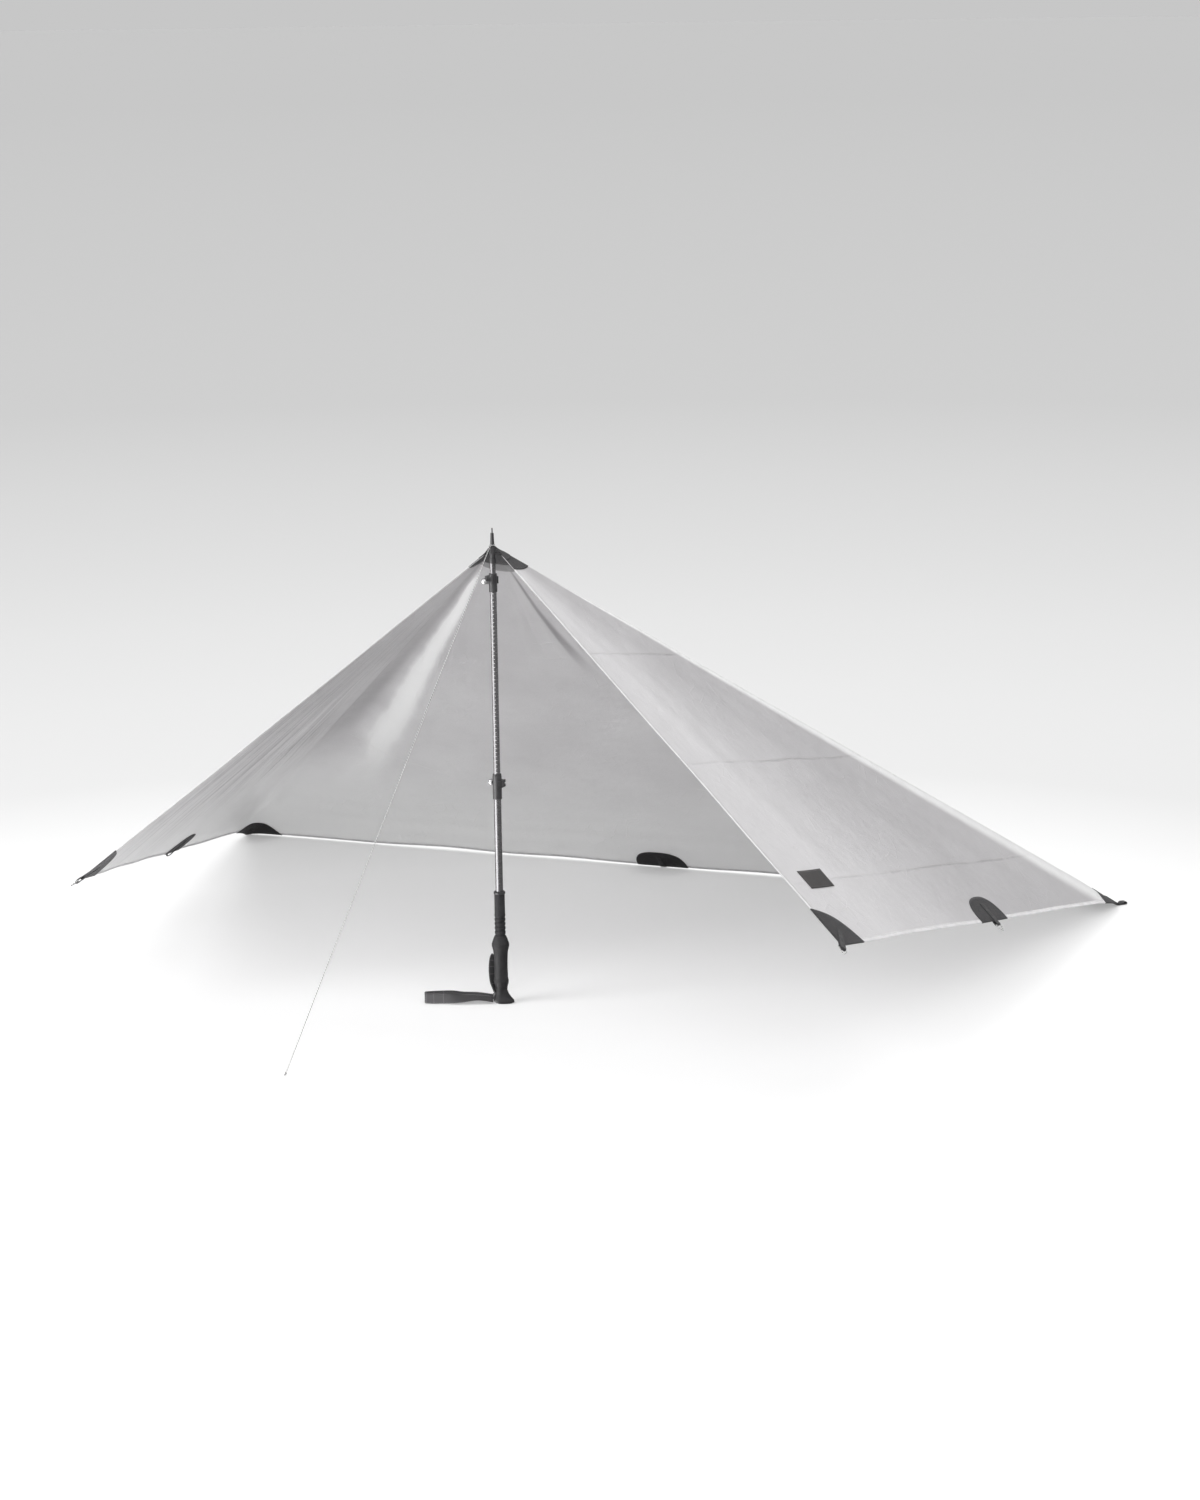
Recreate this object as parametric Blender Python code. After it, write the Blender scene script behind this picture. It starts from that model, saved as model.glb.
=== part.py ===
"""A flat camping tarp pitched as a half pyramid over an upturned trekking pole.

Metres, +Z up. The origin is on the ground under the pole, +X is to the right seen
from the open front, and +Y is to the back. The sheet is developable: its folds all
run from the peak, so its flat size stays the cut size.
"""

import math

import bmesh
import bpy
from mathutils import Matrix, Vector

# The sheet as it is cut, and how it is pitched
TARP_WIDTH = 2.60
TARP_DEPTH = 1.70
SHEET_THICKNESS = 0.0015
PEAK_HEIGHT = 1.135
PEAK_SETBACK = 0.012
HEM_HEIGHT = 0.012
WING_TURN_DEG = 54.4
FOLD_WIDTH_DEG = 3.6
RIPPLE_WING = 0.0024
RIPPLE_BACK = 0.0016
RIPPLE_PITCH_DEG = 11.5
PEAK_HOLE = 0.030
RAY_STEP_DEG = 2.9
HEM_CURVE = 0.010

# Reinforcements and webbing sewn to the sheet
SEAT_GAP = 0.0003
PATCH_THICKNESS = 0.0009
CORNER_PATCH_LEG = 0.112
CORNER_PATCH_BULGE = 0.018
EDGE_PATCH_WIDTH = 0.150
EDGE_PATCH_HEIGHT = 0.078
PEAK_PATCH_WIDTH = 0.156
PEAK_PATCH_HEIGHT = 0.078
PEAK_OUTER_HEIGHT = 0.112
WEBBING_WIDTH = 0.015
WEBBING_THICKNESS = 0.0012
WEBBING_TAIL = 0.055
LOOP_LENGTH = 0.017
LOOP_EYE = 0.0056
LABEL_WIDTH = 0.055
LABEL_LENGTH = 0.115
LABEL_FROM_SIDE = 0.168
LABEL_FROM_FRONT = 0.085
SLEEVE_FOOT = 1.121
SLEEVE_TOP = 1.1370
CAP_SKIRT = 0.046
CAP_TOP = 1.1345
CAP_STEP_DEG = 7.5

# Cord
CORD_DIAMETER = 0.002
CORD_LOOP_LENGTH = 0.020
GUY_FOOT = Vector((-0.280, -0.666, 0.0))
GUY_LOOP_HEIGHT = 1.1425

# Pole tubes, by height above the ground
UPPER_SHAFT_RADIUS = 0.0090
MIDDLE_SHAFT_RADIUS = 0.0080
LOWER_SHAFT_RADIUS = 0.0070
TUBE_WALL = 0.0008
RUNNING_GAP = 0.0001
UPPER_SHAFT_FOOT = 0.034
LOW_LOCK_FOOT = 0.518
LOW_LOCK_TOP = 0.580
HIGH_LOCK_FOOT = 1.029
HIGH_LOCK_TOP = 1.073
MIDDLE_SHAFT_FOOT = 0.400
LOWER_SHAFT_FOOT = 0.680
BUSH_FLANGE = 0.007
BUSH_STEM = 0.016

# Tip
FERRULE_FOOT = 1.0985
FERRULE_TOP = 1.171
FERRULE_SKIRT = 0.0084
FERRULE_SKIRT_HEIGHT = 0.012
FERRULE_SHOULDER = 0.0064
FERRULE_NOSE = 0.0038
TIP_LENGTH = 0.012
TIP_RADIUS = 0.0016

# Clamps
COLLAR_WALL = 0.0018
COLLAR_LIP = 0.008
EAR_OUTER = 0.0055
EAR_SLIT = 0.0024
EAR_HEIGHT = 0.018
EAR_REACH = 0.0085
BOLT_OFFSET = 0.0040
BOLT_RADIUS = 0.0017
PIN_RADIUS = 0.0013
CAM_RADIUS = 0.0050
LEVER_HEIGHT = 0.0170
LEVER_THICKNESS = 0.0025
LEVER_WRAP_DEG = 62.0
LEVER_SLOT = 0.0050
BOLT_EYE = 0.0040
NUT_BALL_RADIUS = 0.0078
NUT_NECK_RADIUS = 0.0036
NUT_NECK_LENGTH = 0.0085
HIGH_LOCK_TURN_DEG = 90.0

# Grip
GRIP_HEAD_HEIGHT = 0.0337
GRIP_HEAD_RADIUS = 0.0200
GRIP_BEAK = 0.014
GRIP_NECK_RADIUS = 0.0150
HANDLE_RADIUS = 0.0172
HANDLE_TOP = 0.171
BULGE_RADIUS = 0.0215
BULGE_HEIGHT = 0.148
EXTENSION_TOP = 0.278
EXTENSION_RADIUS = 0.0130
RIB_COUNT = 5
RIB_BAND_TOP = 0.226
RIB_DEPTH = 0.0016
GRIP_RING_HEIGHT = 0.006
GRIP_RING_RADIUS = 0.0142
GRIP_OVAL = 0.90
STRAP_WIDTH = 0.026
STRAP_THICKNESS = 0.0018
STRAP_REACH = 0.190
STRAP_TAIL_WIDTH = 0.020
WEDGE_WIDTH = 0.018
WEDGE_FOOT = 0.0085
WEDGE_TOP = 0.0262
WEDGE_DEPTH = 0.0080

ROUND_SIDES = 24
LEFT, RIGHT = -1, 1


# Blender helpers
def clear_scene():
    for obj in list(bpy.data.objects):
        bpy.data.objects.remove(obj, do_unlink=True)


def make_material(name, color, roughness, metallic=0.0):
    material = bpy.data.materials.new(name)
    material.use_nodes = True
    shader = material.node_tree.nodes["Principled BSDF"]
    shader.inputs["Base Color"].default_value = (*color, 1.0)
    shader.inputs["Roughness"].default_value = roughness
    shader.inputs["Metallic"].default_value = metallic
    material.diffuse_color = (*color, 1.0)
    return material


def add_object(name, bm, material, smooth_deg=None):
    """Makes an object of a closed bmesh, with its normals pointing out."""
    bmesh.ops.recalc_face_normals(bm, faces=bm.faces)
    if bm.calc_volume(signed=True) < 0:
        bmesh.ops.reverse_faces(bm, faces=bm.faces)
    mesh = bpy.data.meshes.new(name)
    bm.to_mesh(mesh)
    bm.free()
    mesh.materials.append(material)
    if smooth_deg is not None:
        mesh.shade_smooth()
        mesh.set_sharp_from_angle(angle=math.radians(smooth_deg))
    obj = bpy.data.objects.new(name, mesh)
    bpy.context.scene.collection.objects.link(obj)
    return obj


def add_boolean(obj, bm, operation):
    """Cuts or joins a helper body that stays out of the model."""
    helper = add_object(f"{obj.name}_helper", bm, obj.data.materials[0])
    helper.hide_render = True
    helper.display_type = "WIRE"
    helper.parent = obj.parent
    modifier = obj.modifiers.new(operation.lower(), "BOOLEAN")
    modifier.operation = operation
    modifier.object = helper


def place(obj, parent):
    obj.parent = parent
    return obj


def make_empty(name, location=(0, 0, 0), turn=0.0, parent=None):
    empty = bpy.data.objects.new(name, None)
    empty.location = location
    empty.rotation_euler = (0, 0, turn)
    empty.parent = parent
    bpy.context.scene.collection.objects.link(empty)
    return empty


# Solids
def lathe(profile, sides=ROUND_SIDES, centre=(0, 0, 0), oval=1.0, axis="Z"):
    """Spins (radius, height) points round an axis. A point on the axis is shared by all sides."""
    bm = bmesh.new()
    rings = []
    for radius, height in profile:
        if radius == 0:
            rings.append([bm.verts.new((0, 0, height))])
            continue
        turns = [2 * math.pi * k / sides for k in range(sides)]
        rings.append(
            [bm.verts.new((radius * math.cos(a), oval * radius * math.sin(a), height)) for a in turns]
        )
    closed = profile[0][0] > 0
    pairs = list(zip(rings, rings[1:] + rings[:1] if closed else rings[1:]))
    for ring, after in pairs:
        for k in range(sides):
            nxt = (k + 1) % sides
            corners = [ring[k % len(ring)], ring[nxt % len(ring)]]
            corners += [after[nxt % len(after)], after[k % len(after)]]
            unique = list(dict.fromkeys(corners))
            if len(unique) > 2:
                bm.faces.new(unique)
    if axis == "X":
        bmesh.ops.rotate(bm, verts=bm.verts, matrix=Matrix.Rotation(math.pi / 2, 3, "Y"))
    bmesh.ops.translate(bm, verts=bm.verts, vec=centre)
    return bm


def tube_profile(outer, inner, foot, top):
    return [(outer, foot), (outer, top), (inner, top), (inner, foot)]


def rod_profile(radius, foot, top):
    return [(0, foot), (radius, foot), (radius, top), (0, top)]


def block(low, high):
    bm = bmesh.new()
    bmesh.ops.create_cube(bm, size=1.0)
    size = Vector(high) - Vector(low)
    bmesh.ops.scale(bm, verts=bm.verts, vec=size)
    bmesh.ops.translate(bm, verts=bm.verts, vec=(Vector(low) + Vector(high)) / 2)
    return bm


def prism(outline, foot, top):
    """Extrudes a plan outline from one height to another."""
    bm = bmesh.new()
    base = bm.faces.new([bm.verts.new((x, y, foot)) for x, y in outline])
    up = bmesh.ops.extrude_face_region(bm, geom=[base])["geom"]
    moved = [v for v in up if isinstance(v, bmesh.types.BMVert)]
    bmesh.ops.translate(bm, verts=moved, vec=(0, 0, top - foot))
    return bm


def loft(sections):
    """Skins equal rings of points and caps the first and the last."""
    bm = bmesh.new()
    rings = [[bm.verts.new(p) for p in ring] for ring in sections]
    for ring, after in zip(rings, rings[1:]):
        for k in range(len(ring)):
            nxt = (k + 1) % len(ring)
            bm.faces.new((ring[k], ring[nxt], after[nxt], after[k]))
    bm.faces.new(rings[0])
    bm.faces.new(rings[-1])
    return bm


def ribbon(stations, width, thickness):
    """Sweeps a flat strip. A station is its middle point and the direction of its width."""
    points = [Vector(p) for p, _ in stations]
    sections = []
    for k, (_, across) in enumerate(stations):
        before, after = points[max(k - 1, 0)], points[min(k + 1, len(points) - 1)]
        along = (after - before).normalized()
        across = Vector(across)
        across = (across - along * across.dot(along)).normalized()
        face = along.cross(across)
        wide, thick = across * width / 2, face * thickness / 2
        p = points[k]
        sections.append([p - wide - thick, p + wide - thick, p + wide + thick, p - wide + thick])
    return loft(sections)


def cord(name, points, material, diameter, closed=False, resolution=2):
    """A round cord along a list of points, as a curve with a bevel and filled caps."""
    curve = bpy.data.curves.new(name, "CURVE")
    curve.dimensions = "3D"
    curve.bevel_depth = diameter / 2
    curve.bevel_resolution = resolution
    curve.use_fill_caps = not closed
    spline = curve.splines.new("POLY")
    spline.points.add(len(points) - 1)
    for target, point in zip(spline.points, points):
        target.co = (*point, 1.0)
    spline.use_cyclic_u = closed
    curve.materials.append(material)
    obj = bpy.data.objects.new(name, curve)
    bpy.context.scene.collection.objects.link(obj)
    return obj


# The pitched sheet
HALF_WIDTH = TARP_WIDTH / 2
PEAK = Vector((0, PEAK_SETBACK, PEAK_HEIGHT))
CORNER_ANGLE = math.atan2(HALF_WIDTH, TARP_DEPTH)
SIDE_ANGLE = math.atan2(HALF_WIDTH, TARP_DEPTH / 2)
INNER_FACE = SHEET_THICKNESS / 2 + SEAT_GAP
PATCH_FACE = INNER_FACE + PATCH_THICKNESS
WEBBING_LEVEL = PATCH_FACE + SEAT_GAP + WEBBING_THICKNESS / 2
PATCH_RIM = SEAT_GAP + PATCH_THICKNESS


def bend_at(angle):
    """How fast the sheet bends at an angle from the back, seen from the peak."""
    fold = math.radians(FOLD_WIDTH_DEG)
    off = (angle - CORNER_ANGLE) / fold
    bend = 0.0
    if abs(off) < 0.5:
        bend += math.radians(WING_TURN_DEG) / fold * (1 + math.cos(2 * math.pi * off))
    beat = 2 * math.pi / math.radians(RIPPLE_PITCH_DEG)
    depth = RIPPLE_WING if angle > CORNER_ANGLE else RIPPLE_BACK
    from_fold = abs(angle - CORNER_ANGLE) - fold / 2
    span = math.pi / 2 - CORNER_ANGLE if angle > CORNER_ANGLE else CORNER_ANGLE
    calm = min(from_fold, span - fold / 2 - from_fold) / math.radians(RIPPLE_PITCH_DEG)
    if calm > 0:
        bend += depth * beat**2 * min(calm, 1) * math.sin(beat * from_fold)
    return bend


def roll_frames(steps=1800):
    """The sheet's frame (along a ray, across it, outward) every step from the back to a side."""
    slope = math.asin((PEAK_HEIGHT - HEM_HEIGHT) / TARP_DEPTH)
    ray = Vector((0, math.cos(slope), -math.sin(slope)))
    across = Vector((1, 0, 0))
    out = Vector((0, math.sin(slope), math.cos(slope)))
    frames, turn = [(ray, across, out)], math.pi / 2 / steps
    for k in range(steps):
        bend = bend_at((k + 0.5) * turn) * turn
        ray, across = (
            ray * math.cos(turn) + across * math.sin(turn),
            across * math.cos(turn) - ray * math.sin(turn),
        )
        across, out = (
            across * math.cos(bend) - out * math.sin(bend),
            out * math.cos(bend) + across * math.sin(bend),
        )
        frames.append((ray, across, out))
    return frames


FRAMES = roll_frames()


def ray_direction(angle):
    """The direction of a ray. The angle is from the back, positive to the right."""
    at = min(abs(angle) / (math.pi / 2), 1.0) * (len(FRAMES) - 1)
    low = min(int(at), len(FRAMES) - 2)
    ray = FRAMES[low][0].lerp(FRAMES[low + 1][0], at - low).normalized()
    return Vector((math.copysign(1, angle) * ray.x, ray.y, ray.z))


def ray_angles():
    """The rays of one half, with a flat strip between two of them under each piece of webbing."""
    margin = 1.3 * WEBBING_WIDTH / 2
    diagonal = math.hypot(HALF_WIDTH, TARP_DEPTH)
    inner = HALF_WIDTH - WEBBING_TAIL
    side = [math.atan2(inner, TARP_DEPTH / 2 + margin), math.atan2(HALF_WIDTH, TARP_DEPTH / 2 - margin)]
    tail = (WEBBING_TAIL + WEBBING_WIDTH) / math.sqrt(2)
    flats = [
        (0.0, margin / (TARP_DEPTH - WEBBING_TAIL)),
        (CORNER_ANGLE - margin / diagonal, CORNER_ANGLE + margin / diagonal),
        (min(side), max(side)),
        (math.atan2(HALF_WIDTH - tail, tail), math.pi / 2),
    ]
    angles = []
    for (_, start), (end, _) in zip(flats, flats[1:]):
        count = max(1, math.ceil((end - start) / math.radians(RAY_STEP_DEG)))
        angles += [start + (end - start) * k / count for k in range(count + 1)]
    fold = math.radians(FOLD_WIDTH_DEG)
    angles += [CORNER_ANGLE + fold * share for share in (-0.45, -0.3, -0.18, 0.18, 0.3, 0.45)]
    return sorted(set(round(a, 9) for a in angles))


HALF_RAYS = ray_angles()
RAYS = [-a for a in reversed(HALF_RAYS)] + HALF_RAYS
RAY_DIRECTIONS = [ray_direction(a) for a in RAYS]
END_DIRECTION = {side: ray_direction(side * math.pi / 2) for side in (LEFT, RIGHT)}


def strip_edges(strip):
    """The flat angles and the directions of the two rays beside a strip."""
    angles = [-math.pi / 2, *RAYS, math.pi / 2]
    directions = [END_DIRECTION[LEFT], *RAY_DIRECTIONS, END_DIRECTION[RIGHT]]
    return angles[strip : strip + 2], directions[strip : strip + 2]


STRIP_COUNT = len(RAYS) + 1


def strip_normal(strip):
    _, (first, second) = strip_edges(strip)
    return second.cross(first).normalized()


STRIP_NORMALS = [strip_normal(k) for k in range(STRIP_COUNT)]


def strip_at(u, v):
    """Which strip holds a flat point. u is to the right of the peak and v behind the front edge."""
    angle = math.atan2(u, v)
    return sum(angle > ray for ray in RAYS)


def on_sheet(u, v, offset=0.0, strip=None):
    """The pitched place of a flat point, lifted off the sheet's middle by an offset."""
    strip = strip_at(u, v) if strip is None else strip
    (first, second), (ray_1, ray_2) = strip_edges(strip)
    f1, f2 = (math.sin(first), math.cos(first)), (math.sin(second), math.cos(second))
    area = f1[0] * f2[1] - f1[1] * f2[0]
    a, b = (u * f2[1] - v * f2[0]) / area, (f1[0] * v - f1[1] * u) / area
    lift = STRIP_NORMALS[strip]
    angle = math.atan2(u, v)
    for k, ray in enumerate(RAYS):
        if abs(angle - ray) < 1e-7:
            before, after = STRIP_NORMALS[k], STRIP_NORMALS[k + 1]
            lift = (before + after) / (1 + before.dot(after))
    return PEAK + ray_1 * a + ray_2 * b + lift * offset


def clip(polygon, side_of):
    """Keeps the part of a flat polygon where side_of is not negative."""
    kept = []
    for k, point in enumerate(polygon):
        before = polygon[k - 1]
        here, there = side_of(point), side_of(before)
        if here * there < 0:
            share = there / (there - here)
            kept.append((before[0] + (point[0] - before[0]) * share, before[1] + (point[1] - before[1]) * share))
        if here >= 0:
            kept.append(point)
    return kept


def side_of_ray(angle, side):
    """Positive to one side of a ray."""
    return lambda p: side * (p[0] * math.cos(angle) - p[1] * math.sin(angle))


def beyond_hole(strip):
    """Positive outside the hole round the pole, which is cut straight across each strip."""
    (first, second), _ = strip_edges(strip)
    middle, reach = (first + second) / 2, PEAK_HOLE * math.cos((second - first) / 2)
    return lambda p: p[0] * math.sin(middle) + p[1] * math.cos(middle) - reach


def slab(outline, low, high):
    """A closed slab over a flat outline, between two offsets from the sheet's middle."""
    flat = bmesh.new()
    strip_of = []
    for strip in range(STRIP_COUNT):
        piece = outline
        if strip > 0:
            piece = clip(piece, side_of_ray(RAYS[strip - 1], RIGHT))
        if strip < STRIP_COUNT - 1 and piece:
            piece = clip(piece, side_of_ray(RAYS[strip], LEFT))
        if piece:
            piece = clip(piece, beyond_hole(strip))
        piece = [p for k, p in enumerate(piece) if math.dist(p, piece[k - 1]) > 1e-6]
        if len(piece) > 2:
            flat.faces.new([flat.verts.new((u, v, 0)) for u, v in piece])
            strip_of.append(strip)
    flat.verts.ensure_lookup_table()
    bmesh.ops.remove_doubles(flat, verts=flat.verts, dist=2e-6)
    flat.faces.ensure_lookup_table()
    bm = bmesh.new()
    layers = [{}, {}]
    for face, strip in zip(list(flat.faces), strip_of):
        for vert in face.verts:
            for layer, offset in zip(layers, (low, high)):
                if vert not in layer:
                    layer[vert] = bm.verts.new(on_sheet(vert.co.x, vert.co.y, offset, strip))
    for face in flat.faces:
        for layer in layers:
            bm.faces.new([layer[v] for v in face.verts])
    for edge in flat.edges:
        if len(edge.link_faces) == 1:
            first, second = edge.verts
            bm.faces.new((layers[0][first], layers[0][second], layers[1][second], layers[1][first]))
    flat.free()
    return bm


# Outlines in flat coordinates
def hem_outline():
    """The cut rectangle, with each edge drawn in a little between its tie-outs."""
    corners = [(-HALF_WIDTH, 0), (-HALF_WIDTH, TARP_DEPTH), (HALF_WIDTH, TARP_DEPTH), (HALF_WIDTH, 0)]
    ties = [
        corners[0],
        (-HALF_WIDTH, TARP_DEPTH / 2),
        corners[1],
        (0, TARP_DEPTH),
        corners[2],
        (HALF_WIDTH, TARP_DEPTH / 2),
        corners[3],
        (0, 0),
    ]
    outline = []
    for k, start in enumerate(ties):
        end = ties[(k + 1) % len(ties)]
        inward = (-(start[1] - end[1]), start[0] - end[0])
        length = math.hypot(*inward)
        flat_share = EDGE_PATCH_WIDTH / 2 / length * 1.4
        outline.append(start)
        for step in range(9):
            share = flat_share + (1 - 2 * flat_share) * step / 8
            dip = -HEM_CURVE * math.sin(math.pi * step / 8) ** 2 / length
            outline.append(
                (
                    start[0] + (end[0] - start[0]) * share + inward[0] * dip,
                    start[1] + (end[1] - start[1]) * share + inward[1] * dip,
                )
            )
    return outline


def corner_outline(side, at_back, grow, leg=CORNER_PATCH_LEG):
    """A corner patch: two legs along the edges and a bulged front between them."""
    corner = (HALF_WIDTH + grow, TARP_DEPTH + grow if at_back else -grow)
    points = [(0, 0), (leg, 0)]
    for step in range(1, 8):
        turn = math.pi / 2 * step / 8
        bulge = CORNER_PATCH_BULGE * math.sin(2 * turn)
        share = step / 8
        points.append((leg * (1 - share) + bulge, leg * share + bulge))
    points.append((0, leg))
    inward = -1 if at_back else 1
    return [(side * (corner[0] - x), corner[1] + inward * y) for x, y in points]


def half_round(width, height, steps=14):
    """A half round with full shoulders, standing on y = 0."""
    points = []
    for k in range(steps + 1):
        turn = math.pi * k / steps
        x, y = math.cos(turn), math.sin(turn)
        points.append((width / 2 * math.copysign(abs(x) ** 0.8, x), height * y**0.75))
    return points


def side_outline(side, grow):
    shape = half_round(EDGE_PATCH_WIDTH, EDGE_PATCH_HEIGHT)
    edge = HALF_WIDTH + grow
    foot = [(edge, TARP_DEPTH / 2 + x) for x in (-EDGE_PATCH_WIDTH / 2, EDGE_PATCH_WIDTH / 2)]
    arc = [(HALF_WIDTH - y, TARP_DEPTH / 2 + x) for x, y in shape]
    return [(side * u, v) for u, v in foot + arc]


def back_outline(grow):
    shape = half_round(EDGE_PATCH_WIDTH, EDGE_PATCH_HEIGHT)
    foot = [(x, TARP_DEPTH + grow) for x in (-EDGE_PATCH_WIDTH / 2, EDGE_PATCH_WIDTH / 2)]
    return foot + [(x, TARP_DEPTH - y) for x, y in shape]


def add_wrapped_patch(name, outline, inner, material):
    """A patch folded round the hem: one layer on each face of the sheet, joined past its edge."""
    obj = add_object(name, slab(outline, -PATCH_FACE, PATCH_FACE), material)
    add_boolean(obj, slab(inner, -INNER_FACE, INNER_FACE), "DIFFERENCE")
    return obj


def build_sheet(materials):
    cloth, patch, label = materials["cloth"], materials["patch"], materials["label"]
    add_object("tarp_sheet", slab(hem_outline(), -SHEET_THICKNESS / 2, SHEET_THICKNESS / 2), cloth)
    for side, hand in ((LEFT, "left"), (RIGHT, "right")):
        for at_back, end in ((False, "front"), (True, "back")):
            inner = corner_outline(side, at_back, SEAT_GAP, 1.45 * CORNER_PATCH_LEG)
            outer = corner_outline(side, at_back, PATCH_RIM)
            add_wrapped_patch(f"corner_patch_{end}_{hand}", outer, inner, patch)
        reach = (TARP_DEPTH / 2 - EDGE_PATCH_WIDTH, TARP_DEPTH / 2 + EDGE_PATCH_WIDTH)
        inner = [(side * u, v) for u in (HALF_WIDTH - 2 * EDGE_PATCH_HEIGHT, HALF_WIDTH + SEAT_GAP) for v in reach]
        inner = [inner[0], inner[1], inner[3], inner[2]]
        add_wrapped_patch(f"edge_patch_{hand}", side_outline(side, PATCH_RIM), inner, patch)
    wide, deep = EDGE_PATCH_WIDTH, TARP_DEPTH - 2 * EDGE_PATCH_HEIGHT
    inner = [(-wide, deep), (wide, deep), (wide, TARP_DEPTH + SEAT_GAP), (-wide, TARP_DEPTH + SEAT_GAP)]
    add_wrapped_patch("edge_patch_back", back_outline(PATCH_RIM), inner, patch)
    outer = half_round(PEAK_PATCH_WIDTH, PEAK_OUTER_HEIGHT)
    add_object("peak_patch_outer", slab(outer, INNER_FACE, PATCH_FACE), patch)
    inner = half_round(PEAK_PATCH_WIDTH, PEAK_PATCH_HEIGHT)
    add_object("peak_patch_inner", slab(inner, -PATCH_FACE, -INNER_FACE), patch)
    near, far = HALF_WIDTH - LABEL_FROM_SIDE - LABEL_WIDTH, HALF_WIDTH - LABEL_FROM_SIDE
    ends = (LABEL_FROM_FRONT, LABEL_FROM_FRONT + LABEL_LENGTH)
    plate = [(near, ends[0]), (far, ends[0]), (far, ends[1]), (near, ends[1])]
    add_object("blank_label", slab(plate, INNER_FACE, PATCH_FACE), label)


# Webbing
def sheet_frame(u, v, outward):
    """At a flat point: the pitched point, the outward direction, the width's and the face's."""
    strip = strip_at(u * 0.999, v * 0.999)
    here = on_sheet(u, v, 0.0, strip)
    step = 0.001
    along = (on_sheet(u + outward[0] * step, v + outward[1] * step, 0.0, strip) - here).normalized()
    face = STRIP_NORMALS[strip]
    return here, along, face.cross(along).normalized(), face


def eye_stations(mouth, along, face, across, length, eye, steps=8):
    """The bend of a loop, from its outer strand round to its inner one."""
    radius = eye / 2 + WEBBING_THICKNESS / 2
    stations = []
    for k in range(steps + 1):
        turn = math.pi * k / steps
        out = length - radius + radius * math.sin(turn)
        stations.append((mouth + along * out + face * radius * math.cos(turn), across))
    return stations


def free_loop(u, v, outward):
    """A loop in the sheet's plane: a tail on each face and an eye past the edge."""
    here, along, across, face = sheet_frame(u, v, outward)
    tail, level = WEBBING_TAIL, WEBBING_LEVEL
    radius = LOOP_EYE / 2 + WEBBING_THICKNESS / 2
    neck = PATCH_RIM + SEAT_GAP
    outer = [(here + along * s + face * level, across) for s in (-tail, -tail / 2, neck)]
    bend = eye_stations(here, along, face, across, LOOP_LENGTH, LOOP_EYE)
    inner = [(here + along * s - face * level, across) for s in (neck, -tail / 2, -tail)]
    shoulders = [here + along * (neck + 0.004) + face * side * radius for side in (1, -1)]
    return outer + [(shoulders[0], across)] + bend + [(shoulders[1], across)] + inner


def ground_loop(u, v, outward):
    """A loop whose tails lie on the sheet and whose eye lies flat on the ground."""
    here, along, across, face = sheet_frame(u, v, outward)
    tail, level = WEBBING_TAIL, WEBBING_LEVEL
    flat = Vector((along.x, along.y, 0)).normalized()
    flat_across = Vector((0, 0, 1)).cross(flat)
    radius = LOOP_EYE / 2 + WEBBING_THICKNESS / 2
    neck = PATCH_RIM + SEAT_GAP
    drop = here + along * neck
    mouth = Vector((drop.x, drop.y, radius + WEBBING_THICKNESS / 2)) + flat * (abs(drop.z) + 0.004)
    outer = [(here + along * s + face * level, across) for s in (-tail, -tail / 2, neck)]
    eye = eye_stations(mouth, flat, Vector((0, 0, 1)), flat_across, LOOP_LENGTH, LOOP_EYE)
    inner = [(here + along * s - face * level, across) for s in (neck, -tail / 2, -tail)]
    turned = [
        [(mouth + Vector((0, 0, side * radius)), flat_across)] for side in (1, -1)
    ]
    return outer + turned[0] + eye + turned[1] + inner


def add_loop(name, stations, material):
    return add_object(name, ribbon(stations, WEBBING_WIDTH, WEBBING_THICKNESS), material)


def build_loops(materials):
    web = materials["webbing"]
    corner = math.sqrt(0.5)
    for side, hand in ((LEFT, "left"), (RIGHT, "right")):
        edge = side * HALF_WIDTH
        add_loop(f"tie_loop_front_{hand}", free_loop(edge, 0, (side * corner, -corner)), web)
        add_loop(f"tie_loop_side_{hand}", free_loop(edge, TARP_DEPTH / 2, (side, 0)), web)
        outward = (side * math.sin(CORNER_ANGLE), math.cos(CORNER_ANGLE))
        add_loop(f"tie_loop_back_{hand}", ground_loop(edge, TARP_DEPTH, outward), web)
    add_loop("tie_loop_back", ground_loop(0, TARP_DEPTH, (0, 1)), web)


# Cords
def add_cord_loop(name, u, v, outward, material):
    """A short closed loop of cord left on a tie-out: straight through the eye, then out to a point."""
    here, along, across, face = sheet_frame(u, v, outward)
    seat = LOOP_LENGTH - WEBBING_THICKNESS / 2 - 2 * SEAT_GAP - CORD_DIAMETER / 2
    straight = WEBBING_WIDTH / 2 + CORD_DIAMETER / 2 + SEAT_GAP
    wide = straight + 1.1 * CORD_DIAMETER
    half = [
        (0.0, straight / 2),
        (0.0, straight),
        (0.036 * CORD_LOOP_LENGTH, straight + 0.7 * CORD_DIAMETER),
        (0.11 * CORD_LOOP_LENGTH, wide),
        (0.22 * CORD_LOOP_LENGTH, wide * 0.98),
        (0.45 * CORD_LOOP_LENGTH, wide * 0.80),
        (0.70 * CORD_LOOP_LENGTH, wide * 0.52),
        (0.90 * CORD_LOOP_LENGTH, wide * 0.24),
    ]
    shape = [(0.0, 0.0), *half, (CORD_LOOP_LENGTH, 0.0), *[(x, -y) for x, y in reversed(half)]]
    points = [here + along * (seat + x) + across * y for x, y in shape]
    return cord(name, points, material, CORD_DIAMETER, closed=True, resolution=1)


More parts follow.
